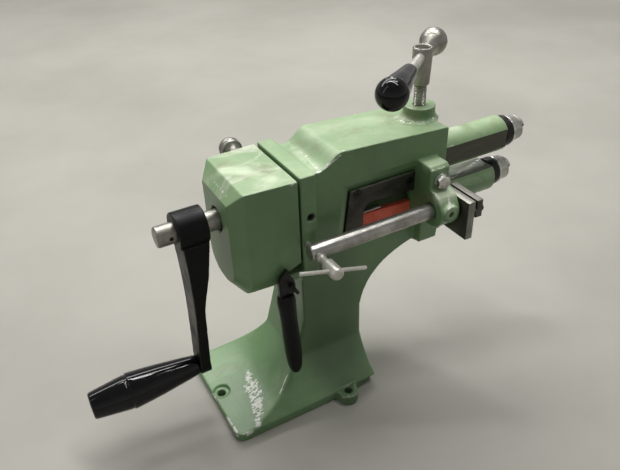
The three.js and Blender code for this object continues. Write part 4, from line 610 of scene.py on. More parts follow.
def gear_steel():
    f = Finish("gear_steel")
    oil = f.grain(50, 5, 0.6)
    base = f.clouded(oil, 0.35, 0.7, (120, 114, 106), (72, 66, 58))
    return f.done(base, f.between(oil, 0.3, 0.7, 0.22, 0.4), 1.0, f.bump(f.grain(300, 3), 0.1, 0.2))


# Chipped places as start, end, radius and strength, and stained places as centre and radius
CASTING_CHIPS = [
    ((-65, 2, 24), (-70, -20, 22), 8, 0.85),
    ((-69, -20, 22), (-73, -46, 20), 15, 0.95),
    ((-74, -46, 20), (-81, -64, 18), 12, 0.95),
    ((-81, -64, 18), (-87, -75, 16), 6, 0.85),
    ((-29, -51, 50), (-34, -54, 43), 1.7, 1.5),
    ((-34, -54, 43), (-46, -62, 34), 1.7, 1.5),
    ((-86, -80, 15), (-106, -84, 10), 4, 0.9),
    ((-110, -82.5, 12.4), (-92, -82.6, 13), 2.2, 0.9),
    ((-118.2, -46, 12.2), (-116.5, -74, 12.2), 2.8, 1.5),
    ((-118, -44, 10), (-118, -79, 9), 4, 0.9),
    ((-119, 6, 10), (-119, -9, 10), 3, 1.0),
    ((66, -43, 352), (47, -45, 343), 3, 1.0),
    ((47, -45, 343), (31, -44, 336), 3, 0.9),
    ((40, 12, 339), (34, -34, 337), 3, 0.45),
    ((176, 12, 349), (177, -8, 349), 4, 0.5),
    ((180, -14, 349), (196, -24, 350), 4, 0.55),
    ((200, -25, 350), (222, -21, 351), 4, 0.6),
    ((191, -86, 281), (189, -94, 268), 3, 0.9),
    ((180, -97, 267), (190, -99, 269), 4, 0.75),
    ((174, -74, 283), (174, -87, 276), 2, 0.7),
    ((176, -71, 309), (202, -71, 309), 2.5, 0.5),
    ((33, -99, 15), (52, -103, 15), 2.5, 0.7),
    ((21, -84, 14), (33, -98, 14), 2.5, 0.6),
    ((219, -20, 346), (219, 30, 346), 3, 0.5),
    ((70, 44, 352), (150, 45, 349), 2.5, 0.5),
    ((-118, 60, 9), (-118, 80, 9), 3, 0.6),
]
# The first stain, at the foot of the screw's boss, is partly brown dirt and partly painted shade of the
# boss.
CASTING_STAINS = [((186, -10, 351), 20), ((100, 8, 352), 30), ((46, 0, 343), 24)]
CASTING_STAINS += [((168, 12, 349), 30), ((36, 20, 337), 20)]
# Pale patches as start, end, radius and strength: painted light on the lug, the neck and the block's top.
CASTING_PAINTED_LIGHT = [
    ((178, -86, 278), (200, -86, 278), 13, 0.95),
    ((176, -60, 312), (202, -60, 312), 13, 0.7),
    ((188, -96, 262), (188, -101, 262), 14, 0.5),
    ((190, -70, 300), (190, -72, 284), 12, 0.35),
    ((36, 20, 338), (33, -36, 337), 9, 0.5),
    ((60, 20, 352), (150, 16, 350), 20, 0.35),
]
# Darker places as start, end, radius and strength: painted shade on the column's front and round the front
# ear.
CASTING_PAINTED_SHADE = [
    ((44, -46, 210), (48, -46, 60), 62, 0.5),
    ((44, -46, 60), (50, -80, 20), 60, 0.45),
    ((44, -88, 14), (44, -104, 14), 26, 0.35),
]
# Painted light as start, end, radius and strength: on the cover's top, the arms' tops and the lower arm's
# front side.
COVER_PAINTED_LIGHT = [((-58, 12, 340), (-42, 2, 340), 15, 0.9), ((-44, 0, 340), (-24, -34, 340), 12, 0.75)]
ARM_PAINTED_LIGHT = [((232, 0, 313), (268, 4, 313), 20, 0.6), ((300, -4, 313), (345, 0, 313), 12, 0.35)]
ARM_PAINTED_LIGHT += [((250, -24, 238), (340, -24, 236), 9, 0.3)]
COVER_CHIPS = [
    ((-3, -56, 339), (-12, -57, 339), 3, 0.7),
    ((-74, -30, 330), (-74, 10, 330), 2.5, 0.5),
]
COVER_STAINS = [((-30, -10, 340), 26), ((-52, 20, 340), 20)]
ARM_CHIPS = [((352, -18, 305), (352, 18, 305), 2.5, 0.6), ((232, -21, 300), (250, -21, 301), 2.5, 0.5)]

green = green_enamel("green_enamel", CASTING_CHIPS, CASTING_STAINS, CASTING_PAINTED_LIGHT, painted_shade=CASTING_PAINTED_SHADE)
green_cover = green_enamel("green_enamel_cover", COVER_CHIPS, COVER_STAINS, COVER_PAINTED_LIGHT, 0.8)
green_arm = green_enamel("green_enamel_arms", ARM_CHIPS, [((286, 0, 312), 14)], ARM_PAINTED_LIGHT)
black = black_enamel()
phenolic = black_plastic("black_phenolic", 0.07, 0.15, 0.3)
lever_plastic = black_plastic("black_grip_plastic", 0.36, 0.46, 0.2)
dark_steel = blackened_steel()
bright = turned_steel("drawn_steel", (182, 180, 175), (132, 130, 124), 0.3, 0.27, 0.36, (0.06, 1, 1), 0.8)
polished = turned_steel("polished_steel", (222, 219, 211), (176, 172, 163), 0.3, 0.28, 0.4, metal=0.6)
nose_steel = turned_steel("nose_steel", (200, 199, 191), (140, 139, 131), 0.45, 0.24, 0.36, metal=0.65)
thread_steel = turned_steel("thread_steel", (178, 177, 170), (118, 117, 109), 0.35, 0.2, 0.34)
satin = turned_steel("satin_steel", (158, 156, 148), (122, 120, 112), 0.2, 0.34, 0.46)
# Brighter steel for plate edges that face up: a painted highlight.
highlight_steel = turned_steel("steel_painted_highlight", (160, 160, 150), (104, 104, 95), 0.45, 0.34, 0.5)
side_steel = turned_steel("ground_steel", (134, 134, 124), (94, 94, 86), 0.4, 0.36, 0.5, (1, 1, 0.15), 0.6)
# The two heights set the painted highlight along each plate's top edge.
plate_steel = oxidised_steel("plate_steel", 293, 297, (62, 61, 56), 0.5)
stop_steel = oxidised_steel("stop_steel", 270.6, 272.4, (70, 68, 61), 0.75)
# Two copies of one milled steel: the upper arm's side flats take the darker one as painted shade, the lower
# arm's top flat the lighter one as painted light.
shaded_flat = milled_flat("shaded_flat", (84, 85, 76), (76, 77, 69))
FLAT_RUBS = [((262, -12, 245.5), (282, -6, 245.5), 3), ((300, 0, 245.5), (318, 5, 245.5), 2.5)]
FLAT_RUBS += [((326, 8, 245.5), (342, 8, 245.5), 3.5), ((236, -16, 245.5), (256, -15, 245.5), 2)]
lit_flat = milled_flat("lit_flat", (138, 142, 128), (96, 101, 88), FLAT_RUBS)
plated = plated_steel()
bronze = bronze_bush()
red = red_enamel()
gear_metal = gear_steel()


# ---- body casting


def column_ring(z):
    """Outline of the flared column at a height, as in the solids."""
    rise = min(1, max(0, (112 + BASE_THICK - z) / 112))
    x0 = COLUMN_X - 122 * (1 - math.sqrt(1 - rise * rise))
    side = max(0, (68 - z) / (68 - BASE_THICK))
    half = BLOCK_HALF + 38.5 * side**1.3
    x1 = COLUMN_BACK_X + (BASE_X1 - COLUMN_BACK_X) * max(0, (2 * BASE_THICK - z) / BASE_THICK)
    corners = [(x0, -half), (x1, -half), (x1, half), (x0, half)]
    return [(x, y, z) for x, y in rounded(corners, 4, 4, closed=True)]


def column():
    heights = [13.02 + 0.6 * i**1.55 for i in range(20)]
    return lofted([column_ring(z) for z in heights if z < 125] + [column_ring(z) for z in (125, 140)])


def base_plate():
    outline = arc((BASE_X0 + 12, -BASE_HALF + 12), 12, 180, 270, 8) + [(60, -BASE_HALF)]
    outline += arc((BASE_X1 - 9, -67), 9, 290, 360, 6) + arc((BASE_X1 - 9, 67), 9, 0, 70, 6)
    outline += [(60, BASE_HALF)] + arc((BASE_X0 + 12, BASE_HALF - 12), 12, 90, 180, 8)
    return extruded(outline, BASE_THICK)


def ear(side):
    root = side * (BASE_HALF - 12)
    outline = [(EAR.x - EAR_R - 6, root)]
    outline += arc((EAR.x, side * EAR.y), EAR_R, side * 180, 0, 20)
    outline += [(EAR.x + EAR_R + 6, root)]
    return extruded(outline, 16)


def block_side():
    outline = [(COLUMN_X, 120), (COLUMN_BACK_X, 120)]
    outline += curve(outline[-1], (97.5, 158), (125, 183), (169, BLOCK_BOTTOM_Z - 2), 20)
    outline += [(BLOCK_END, BLOCK_BOTTOM_Z), (BLOCK_END, BLOCK_TOP_Z - BLOCK_TOP_FALL)]
    outline += [(RAMP_END_X, BLOCK_TOP_Z)]
    outline += curve(outline[-1], (52, BLOCK_TOP_Z), (44, NECK_Z), (32, NECK_Z), 14)
    outline += [(3.5, NECK_Z), (3.5, FLANGE_BOTTOM_Z), (COLUMN_X, FLANGE_BOTTOM_Z)]
    return moved(extruded(outline, 2 * BLOCK_HALF, "xz"), y=-BLOCK_HALF)


def flange():
    outline = arc((FLANGE_FRONT + 20, FLANGE_BOTTOM_Z + 20), 20, 180, 270, 12)
    outline += arc((FLANGE_BACK - 20, FLANGE_BOTTOM_Z + 20), 20, 270, 360, 12)
    outline += [(FLANGE_BACK, FLANGE_TOP_Z), (FLANGE_FRONT, FLANGE_TOP_Z)]
    return moved(extruded(outline, FLANGE_X1 - GROOVE, "yz"), x=GROOVE)


def lug():
    """Lug of the stop rod, with the seat of the hexagon bolt and the clamp boss."""
    outline = [(-39, 312), (-67, 312), (-72, 307), (-72, 282), (-80, 281), (-88, 276.5)]
    outline += arc((ROD_Y, ROD_Z), 22.1, 140, 265, 14) + [(-60, 234), (-57, 195), (-39, 192)]
    body = moved(extruded(outline, LUG_X1 - LUG_X0, "yz"), x=LUG_X0)
    boss = turned([(0, 0), (12.4, 0), (11.6, 17), (10.6, 18), (0, 18)], 72, 0.6)
    boss = aimed(boss, (CLAMP_X, -83, CLAMP_Z), -Y)
    seat = bar((11.6, 30, 64), GUIDE_BOLT, -Y)
    return fused(cut(body, seat), boss)


def spread(bm):
    """Draws the foot of the screw's boss out along the block."""
    for vert in bm.verts:
        flare = min(1, max(0, (math.hypot(vert.co.x, vert.co.y) - 20.5) / 3.5))
        if vert.co.x < 0:
            vert.co.x *= 1 + 0.3 * flare
    return bm


def screw_boss():
    foot = BLOCK_TOP_Z - BLOCK_TOP_FALL
    profile = [(0, foot - 6), (24, foot - 6), (24, foot + 1), (22, foot + 4), (20.5, foot + 8)]
    profile += [(20.5, 364), (0, 364)]
    return moved(spread(turned(profile, 72, 0.8)), x=SCREW_X)


def section(radius, out, segments):
    """Round section beside the Z axis, ready to be spun."""
    bm = bmesh.new()
    bmesh.ops.create_circle(bm, segments=segments, radius=radius)
    upright = Matrix.Rotation(math.pi / 2, 3, "X")
    bmesh.ops.rotate(bm, cent=(0, 0, 0), matrix=upright, verts=bm.verts[:])
    return moved(bm, out)


def weld_bead():
    """Lumpy bead round the foot of the screw's boss."""
    bm = outward(spun(section(2.1, 23.2, 10), 90))
    fall = BLOCK_TOP_FALL / (BLOCK_END - RAMP_END_X)
    for vert in bm.verts:
        lump = noise.noise(vert.co * 0.28) + 0.5 * noise.noise(vert.co * 0.7)
        out = Vector((vert.co.x, vert.co.y, 0)).normalized()
        vert.co += out * 1.3 * lump + Z * (0.9 * lump - fall * vert.co.x)
    return moved(spread(bm), SCREW_X, 0, BLOCK_TOP_Z - BLOCK_TOP_FALL + 0.8)


def neck_bead():
    """Lumpy crest of weld across the neck, where its ramp starts."""
    bm = rod(2.4, 84, 20)
    bmesh.ops.subdivide_edges(bm, edges=[e for e in bm.edges if e.calc_length() > 50], cuts=60)
    for vert in bm.verts:
        vert.co += Vector((vert.co.x, vert.co.y, 0)) * 0.5 * noise.noise(vert.co * 0.3)
        vert.co.y += 0.8 * noise.noise(Vector((0, 0, vert.co.z * 0.06)))
    return aimed(bm, (36, 42, 335.4), (-0.08, -1, 0))


def window_pocket():
    def at(y, grow):
        low = 220 - 0.5 * grow
        return [(64 - grow, y, low), (LUG_X0, y, low), (LUG_X0, y, 303 + grow), (74 - grow, y, 303 + grow)]

    return lofted([at(-36, 0), at(-41, 0), at(-45, 9), at(-46, 10)])


def window_opening():
    outline = [(99, 226), (173, 226), (173, 271)] + arc((113, 257), 14, 90, 180, 10)
    return moved(extruded(outline, 20, "xz"), y=-46)


def casting_hollows():
    """Channels for the arms, bores, the window, bolt holes and seats of the screws."""
    side = ARM_R + 2
    return [
        block(0.5, 225, -side, side, 255.5, 320),
        block(41.5, 98, -27, 36, 246, 320),
        block(98, 178, -27, 36, 223, 320),
        bar((ARM_R + 0.3, 200, 64), (109.7, 0, LOWER_Z), X),
        bar((SHAFT_R + 2, 200), (0, 0, LOWER_Z), X),
        moved(rod(8.3, 100), SCREW_X, 0, 319),
        window_opening(),
        window_pocket(),
        moved(rod(5.6, 60), BOLT_HOLE_X, 0, -1),
        moved(rod(11.8, 60, 72), BOLT_HOLE_X, 0, 10.6),
        moved(rod(5.6, 60), EAR.x, -EAR.y, -1),
        moved(rod(5.6, 60), EAR.x, EAR.y, -1),
        bar((5.3, 200, 32), (PIVOT_X, 100, UPPER_Z), -Y),
        bar((10.3, 60, 48), (LUG_X0 - 10, ROD_Y, ROD_Z), X),
        bar((3.8, 30, 24), (CLAMP_X, -102, CLAMP_Z), Y),
        bar((5.3, 40, 24), GUIDE_BOLT - Y, Y),
    ]


def lever_boss():
    return fused(
        bar((6, 17.7, 40), (-21, -41, 209), -Y),
        block(-21, COLUMN_X + 1, -53, -41, 204, 214),
    )


def body_casting():
    whole = fused(
        base_plate(),
        ear(-1),
        ear(1),
        column(),
        block_side(),
        flange(),
        screw_boss(),
        bar((33, 15, 64), (BLOCK_END - 10, 0, LOWER_Z), X),
        lug(),
        lever_boss(),
        weld_bead(),
        neck_bead(),
    )
    whole = cut(whole, *casting_hollows())
    shape = cast(whole, 1.25, 4, 0.32)
    piece("casting", shape, "frame", green, ["body_casting"], crease=60)


# ---- gear cover


def cover_ring(x, half, top, bottom, corner):
    outline = arc((half - corner, bottom + corner), corner, 0, -90, 14)
    outline += arc((corner - half, bottom + corner), corner, -90, -180, 14)
    outline += [(-half, top), (half, top)]
    return [(x, y, z) for y, z in outline]


def cover_shell(inset, mouth):
    return lofted(
        [
            cover_ring(-80.4 + inset, 36 - inset, 322 - inset, 205 + inset, 30.6 - inset),
            cover_ring(-65.6, 53 - inset, 340 - inset, 188.5 + inset, 38 - inset),
            cover_ring(mouth, 57 - inset, 340 - inset, 188.5 + inset, 38 - inset),
        ]
    )


def cover_relief(grow):
    outline = [(-32.5 - grow, 170), (2.5, 170), (2.5, 229 + grow), (-3, 229 + grow)]
    outline.append((-32.5 - grow, 215 + grow))
    return moved(extruded(outline, 24 + grow, "xz"), y=-62)


def gear_cover():
    shell = cut(cover_shell(0, -1.2), cover_relief(0))
    room = cut(cover_shell(4, 1), cover_relief(4))
    shaft_hole = bar((16, 60), (-90, 0, UPPER_Z), X)
    shell = cut(shell, room, shaft_hole, bar((4.3, 60, 32), (-22, 36, 327), Y))
    shape = cast(shell, 1.0, 3, 0.32)
    piece("cover", shape, "frame", green_cover, ["gear_cover"], crease=60)


# ---- arms, shafts, noses


def arm_tube(low, high):
    length = high.x - low.x
    return ring([(15.7, 0), (ARM_R, 0), (ARM_R, length), (15.7, length)], 96, 0.8)


def upper_arm():
    low, high = span("upper_arm")
    tube = arm_tube(low, high)
    for y0, y1 in ((-30, -21.3), (21.3, 30)):
        tube = cut(tube, block(-30, 30, y0, y1, FLATS_X - low.x, high.x - low.x + 2))
    tube = cut(tube, bar((5.3, 80, 32), (0, 40, PIVOT_X - low.x), -Y))
    shape = aimed(tube, (low.x, 0, UPPER_Z), X)

    def choose(centre, normal):
        return 1 if abs(normal.y) > 0.98 and centre.x > FLATS_X and abs(centre.y) > 21 else 0

    finishes = [green_arm, shaded_flat]
    piece("arm_upper", shape, "upper_arm_body", finishes, ["upper_arm"], 20, choose)


def lower_arm():
    low, high = span("lower_arm")
    shape = aimed(arm_tube(low, high), (low.x, 0, LOWER_Z), X)
    shape = cut(shape, block(FLATS_X, high.x + 2, -30, 30, LOWER_Z + 17.5, LOWER_Z + 30))

    def choose(centre, normal):
        return 1 if normal.z > 0.98 and centre.x > FLATS_X and centre.z < LOWER_Z + 18 else 0

    piece("arm_lower", shape, "frame", [green_arm, lit_flat], ["lower_arm"], 20, choose)


SHAFT_HEIGHTS = (("upper", UPPER_Z), ("lower", LOWER_Z))
NOSE_LONG = 26


def nosed_shaft(start, nose_start):
    """Shaft along +Z with its nose, the nose's slot across Y and its bore."""
    end = nose_start + NOSE_LONG
    profile = [(0, start), (SHAFT_R - 1.5, start), (SHAFT_R, start + 1.5), (SHAFT_R, nose_start)]
    profile += [(19, nose_start), (20.4, nose_start + 1), (20.4, nose_start + 3.2), (18.2, nose_start + 4.2)]
    profile += [(17.8, end - 10), (17.3, end - 9.4), (17.7, end - 8.8), (17.3, end - 7)]
    profile += [(13.2, end), (0, end)]
    blank = turned(profile, 96, 0.4)
    bore = moved(turned([(0, -1), (5, -1), (5, 9), (6.2, 10.4), (6.2, 12), (0, 12)], 48, 0), z=end - 10)
    return cut(blank, block(-6, 6, -20, 20, end - 7, end + 1), bore)


def nose_finish(z, start):
    """Bright shoulder, dull shaft behind it; the slot's floor and roof and the tapered end take black as
    painted shade.
    """

    def choose(centre, normal):
        if centre.x < start:
            return 3
        if centre.x < start + 4.3 and abs(normal.x) < 0.9:
            return 1
        # Painted shade: the slot's floor and roof and the taper facing away from the light get the black
        # finish.
        slot = centre.x > start + 18.9 and abs(centre.z - z) < 6.05 and abs(normal.z) > 0.9
        shaded = centre.x > start + 19.5 and 0.3 < normal.x and normal.z < 0.5
        return 2 if slot or shaded else 0

    return choose


def shafts():
    for side, height in SHAFT_HEIGHTS:
        low, high = span(side + "_shaft")
        nose_start = high.x - NOSE_LONG
        shape = nosed_shaft(low.x, nose_start)
        if side == "upper":
            pin_hole = bar((2.5, 60, 32), (0, 30, -139.25), -Y)
            shape = cut(shape, pin_hole)
        shape = aimed(shape, (0, 0, height), X)
        # Black on the nose's slot and tapered end is painted shade.
        finishes, choose = [nose_steel, plated, black, satin], nose_finish(height, nose_start)
        body = side + "_shaft_body"
        piece("shaft_" + side, shape, body, finishes, [side + "_shaft"], choose=choose)


def collars():
    for side, height in SHAFT_HEIGHTS:
        low, high = span(side + "_collar")
        radius, length = (high.z - low.z) / 2, high.x - low.x
        profile = [(13, 0), (radius, 0), (radius, length - 1.5), (radius - 1.5, length), (13, length)]
        shape = aimed(ring(profile, 80, 0.3), (low.x, 0, height), X)
        body = side + "_shaft_body"
        piece("collar_" + side, shape, body, dark_steel, [side + "_collar"])


# ---- crank


def crank_arm():
    hub_x, hub_end, reach = -133, -97, CRANK_REACH
    side = [(hub_x + 2, -14)]
    side += curve(side[-1], (hub_x + 4, -45), (hub_x + 4.5, -68), (hub_x + 4.5, -90), 8)
    side += curve(side[-1], (hub_x + 4.5, -130), (hub_x + 2, -165), (hub_x + 0.5, -198), 8)
    side += [(hub_x + 0.5, -reach - 14), (hub_x + 14.5, -reach - 14), (hub_x + 14.5, -reach + 10)]
    side += [(hub_x + 17, -120)]
    side += curve(side[-1], (hub_x + 17, -104), (hub_end - 11, -78), (hub_end - 8, -60), 8)
    side += [(hub_end - 2, -14)]
    front = arc((0, 0), 23, -20, 200, 30) + arc((0, -reach), 13.5, 180, 360, 24)
    web = common(
        moved(extruded(side, 48, "xz"), y=-24),
        moved(extruded(front, 40, "yz"), x=hub_x - 1),
    )
    hub = aimed(turned([(0, 0), (23, 0), (23, 36), (0, 36)], 80, 1.5), (hub_x, 0, 0), X)
    eye = aimed(turned([(0, 0), (14, 0), (14, 15), (0, 15)], 64, 1.5), (hub_x, 0, -reach), X)
    arm = cut(
        fused(web, hub, eye),
        bar((13, 60, 64), (hub_x - 10, 0, 0), X),
        bar((6.3, 60, 40), (hub_x - 10, 0, -reach), X),
        block(hub_x - 1, hub_end + 1, -3.3, 3.3, -16, -9),
    )
    shape = cast(moved(arm, z=UPPER_Z), 0.8, 4, 0.4)
    piece("crank", shape, "upper_shaft_body", black, ["crank_arm"], crease=60)


def crank_grip():
    low, high = span("crank_grip")
    length = high.x - low.x
    profile = [(6.3, 0), (12, 0), (13, 1.5), (15.4, 16), (17.6, 33), (19.9, 50), (21.8, 68), (23.2, 84)]
    profile += [(23.5, 89), (23.3, 90.2), (21.9, 91), (22, 93.4), (22.3, 94.4), (21.6, 100), (19.6, 117)]
    profile += [(17.4, length - 4), (16.6, length - 1.2), (14.8, length), (10, length)]
    profile += [(9.4, length - 8), (6.3, length - 8)]
    shape = aimed(ring(profile, 96, 0.7), (high.x, 0, UPPER_Z - CRANK_REACH), -X)
    piece("grip_crank", shape, "crank_grip_body", phenolic, ["crank_grip"], 50)


# ---- pressure screw


def thread(radius, depth, pitch, turns, steps=48):
    """Two-start screw thread along +Z, spun as one helix."""
    bm = bmesh.new()
    ridge = [(depth, 0), (depth, 0.12), (0, 0.42), (0, 0.58), (depth, 0.88)]
    points = [(radius - low, (turn + z) * pitch) for turn in range(turns) for low, z in ridge]
    verts = [bm.verts.new((r, 0, z)) for r, z in points + [(radius - depth, turns * pitch)]]
    for pair in zip(verts, verts[1:]):
        bm.edges.new(pair)
    spun(bm, steps, rise=2 * pitch)
    bmesh.ops.remove_doubles(bm, verts=bm.verts[:], dist=1e-3)
    return capped(bm)


def handle_direction():
    turn = math.radians(-140.8)
    return Vector((math.cos(turn), math.sin(turn), 0.02)).normalized()


def ball(radius, centre, first, step, grooves=()):
    """Points round a ball, from an angle off its axis up to its top."""
    points = []
    for angle in range(first, 8, -step):
        reach = radius - 0.5 if angle in grooves else radius
        a = math.radians(angle)
        points.append((reach * math.sin(a), centre + reach * math.cos(a)))
    return points + [(0, centre + radius)]


def pressure_screw():
    body, slot = "pressure_screw", "bright_steel"
    low, high = span("pressure_spindle")
    shape = moved(thread(8, 0.75, 2, int((high.z - low.z - 4) / 2)), SCREW_X, 0, low.z)
    piece("spindle", shape, body, thread_steel, ["pressure_spindle"], 25)
    low, high = span("screw_head")
    tall = high.z - low.z
    profile = [(8.3, 0), (9.6, 0), (10.5, 1.2), (12.2, tall - 14), (12.5, tall - 12), (12.5, tall - 1.6)]
    profile += [(11.4, tall), (9.6, tall), (8.3, tall - 1.8)]
    head = moved(ring(profile, 72, 0.5), SCREW_X, 0, low.z)
    middle = Vector((SCREW_X, 0, HANDLE_Z))
    along = handle_direction()
    head = cut(head, bar((6.3, 60, 48), middle - 30 * along, along))
    piece("head", head, body, satin, ["screw_head"])
    stick = bar((6, 159, 48, 0.8), middle - 62 * along, along)
    piece("bar_handle", stick, body, polished, ["handle_bar"])
    profile = [(6.3, 0), (8.6, 0), (10, 1.4), (11, 10), (12.2, 24), (13.6, 38), (15.2, 50)]
    profile += ball(18.4, 74, 122, 4, (94, 82)) + [(0, 35.2), (6.3, 35.2), (6.3, 0)]
    grip = aimed(turned(profile, 80, 0.25), middle + 64 * along, along)
    piece("grip_handle", grip, body, phenolic, ["handle_grip"], 60)
    profile = [(6.3, 0), (8, 0), (8.6, 1), (9.4, 12), (10.6, 22)]
    profile += ball(18, 42.6, 136, 6) + [(0, 47.2), (6.3, 47.2), (6.3, 0)]
    weight = aimed(turned(profile, 80, 0.25), middle - 16.5 * along, -along)
    piece("weight", weight, body, satin, ["handle_weight"], 60)


# ---- gauge and clamping screw


def hexagon(across, depth):
    return extruded(arc((0, 0), across / math.sqrt(3), 30, 330, 5), depth)


def socket_screw(at, direction, head_r, head_long, thread_r, thread_long, across):
    """Socket screw: its head starts at a point and points in a direction."""
    profile = [(0, -thread_long), (thread_r - 0.5, -thread_long), (thread_r, 0.5 - thread_long)]
    profile.append((thread_r, 0))
    profile += [(head_r, 0), (head_r, head_long - 0.6), (head_r - 0.6, head_long), (0, head_long)]
    shape = cut(turned(profile, 48, 0.3), moved(hexagon(across, 8), z=head_long - 3))
    return aimed(shape, at, direction)


def front_face_or_lit_top(centre, normal):
    """The third finish for the plate's narrow front face, the second, a painted highlight, for its upper
    edges that face up.
    """
    return 2 if normal.y < -0.5 else lit_top(centre, normal)


# The second finish, a painted highlight, for edges that face up.
def lit_top(centre, normal):
    return 1 if 0.3 < normal.z < 0.96 else 0


def gauge():
    low, high = span("gauge_rod")
    y, z = (low.y + high.y) / 2, (low.z + high.z) / 2
    radius = (high.z - low.z) / 2
    length = high.x - low.x
    shape = turned([(0, 0), (radius - 1.3, 0), (radius, 1.3), (radius, length), (0, length)], 72, 0.4)
    shape = aimed(shape, (low.x, y, z), X)
    shape = cut(shape, bar((4.3, 40, 32), (ROD_END_SCREW_X, y + 20, z), -Y))
    shape = cut(shape, bar((3.3, 16, 24), (high.x - 15, y, z), X))
    piece("rod_stop", shape, "gauge", bright, ["gauge_rod"])
    holes = (y, y - STOP_SCREWS_APART)
    for name, node in (("plate_stop_inner", "stop_block"), ("plate_stop_outer", "stop_plate")):
        low, high = span(node)
        shape = softened(block(low.x, high.x, low.y, high.y, low.z, high.z), 0.9)
        if node == "stop_plate":
            relief = block(low.x - 1, low.x + 1.8, low.y - 1, high.y + 1, low.z - 1, high.z + 1)
            relief = cut(relief, *(bar((9, 20), (low.x - 5, hole_y, z), X) for hole_y in holes))
            shape = cut(shape, relief)
        for hole_y in holes:
            start = low.x - 5 if hole_y == y else low.x + 1.5
            shape = cut(shape, bar((3.3, 30, 32), (start, hole_y, z), X))
        choose = front_face_or_lit_top if node == "stop_block" else lit_top
        piece(name, shape, "gauge", [stop_steel, highlight_steel, side_steel], [node], 28, choose)
    for i, node in enumerate(("stop_screw_1", "stop_screw_2")):
        low, high = span(node)
        shape = socket_screw((high.x - 6, holes[i], z), X, 5, 6, 3, high.x - 6 - low.x, 5)
        piece(f"screw_stop_{i + 1}", shape, "gauge", dark_steel, [node])


def clamping_screw():
    low, high = span("clamping_screw")
    shoulder, head, end = high.y + 87.9, high.y + 105, high.y - low.y
    profile = [(0, 0), (3.4, 0), (4, 0.8), (4, shoulder), (5.5, shoulder), (5.5, shoulder + 5)]
    profile += [(4.8, shoulder + 6), (4.8, head), (7.4, head), (8, head + 0.8), (8, end - 3.4)]
    profile += [(7.2, end - 1.6), (5.5, end), (0, end)]
    shape = aimed(turned(profile, 64, 0.5), (ROD_END_SCREW_X, high.y, ROD_Z), -Y)
    bar_low, bar_high = span("clamping_screw_bar")
    along = Vector((bar_high.x - bar_low.x, 0, bar_low.z - bar_high.z)).normalized()
    middle = (bar_low + bar_high) / 2
    shape = cut(shape, bar((2.7, 40, 24), middle - 20 * along, along))
    piece("screw_clamping", shape, "clamp_screw_body", polished, ["clamping_screw"])
    stick = bar((2.45, 89, 32, 0.6), middle - 44.5 * along, along)
    piece("bar_clamping", stick, "clamp_screw_body", polished, ["clamping_screw_bar"])


# ---- window, bolts, knob


def lit_edge(centre, normal):
    """The second finish, a painted highlight, for the plate's upper edge faces that face up."""
    return 1 if centre.z > 290 and 0.3 < normal.z and abs(normal.x) < 0.5 else 0


def window_plate():
    low, high = span("window_plate")
    outline = [(67, 221), (93, 221)] + arc((110, 258), 14, 180, 90, 10)
    outline += [(173.7, 268), (173.7, 296), (77, 295)]
    shape = softened(moved(extruded(outline, high.y - low.y, "xz"), y=low.y), 0.5, 50)
    places = [(87, 289), (166, 283)]
    for x, z in places:
        sink = turned([(0, -1), (6.3, -1), (6.3, 0.4), (3.3, 3.4), (3.3, 14), (0, 14)], 40, 0)
        shape = cut(shape, aimed(sink, (x, low.y, z), Y))
    finishes = [plate_steel, highlight_steel]
    piece("plate_window", shape, "frame", finishes, ["window_plate"], 28, lit_edge)
    for i, (x, z) in enumerate(places):
        screw = turned([(0, 0.2), (5.7, 0.2), (6, 0.5), (3, 3.4), (3, 13), (0, 13)], 48, 0.15)
        screw = cut(screw, moved(hexagon(3.4, 3), z=-1.2))
        screw = aimed(screw, (x, low.y, z), Y)
        node = f"window_plate_screw_{i + 1}"
        piece(f"screw_window_{i + 1}", screw, "frame", dark_steel, [node])


def window_bars():
    low, high = span("red_bar")
    outline = [(low.x, 232), (high.x, 228), (high.x, high.z - 4), (low.x, high.z)]
    shape = softened(moved(extruded(outline, high.y - low.y, "xz"), y=low.y), 0.8)
    piece("bar_red", shape, "frame", red, ["red_bar"])
    low, high = span("steel_strip")
    shape = softened(block(low.x, high.x, low.y, high.y, low.z, high.z), 0.4)
    piece("strip_steel", shape, "frame", bright, ["steel_strip"])


def hexagon_bolt():
    low, high = span("arm_guide_bolt")
    at = GUIDE_BOLT
    head = moved(hexagon(17, 7), z=2.4)
    crown = turned([(0, -2), (17, -2), (9.6, 7.6), (8.2, 9.4), (0, 9.4)], 64, 0)
    washer_face = moved(rod(8.2, 0.6, 48), z=2.1)
    shape = fused(common(head, crown), rod(5, at.y - low.y - 6.9, 40))
    shape = fused(shape, washer_face, moved(rod(5, high.y - at.y + 2, 40), z=at.y - high.y))
    piece("bolt_guide", aimed(shape, at, -Y), "frame", plated, ["arm_guide_bolt"], 25)
    low, high = span("arm_guide_washer")
    disc = ring([(5.3, 0), (9.6, 0), (9.6, 1.8), (5.3, 1.8)], 64, 0.35)
    disc = aimed(disc, (at.x, high.y, at.z), -Y)
    piece("washer_guide", disc, "frame", plated, ["arm_guide_washer"])


def grub_screw():
    low, high = span("rod_clamp_screw")
    length = high.y - low.y
    profile = [(0, 0), (3, 0), (3.5, 0.6), (3.5, length - 0.6), (2.9, length), (0, length)]
    shape = cut(turned(profile, 40, 0.1), moved(hexagon(4.6, 6), z=length - 4))
    shape = aimed(shape, (CLAMP_X, high.y, CLAMP_Z), -Y)
    piece("screw_rod_clamp", shape, "frame", dark_steel, ["rod_clamp_screw"])


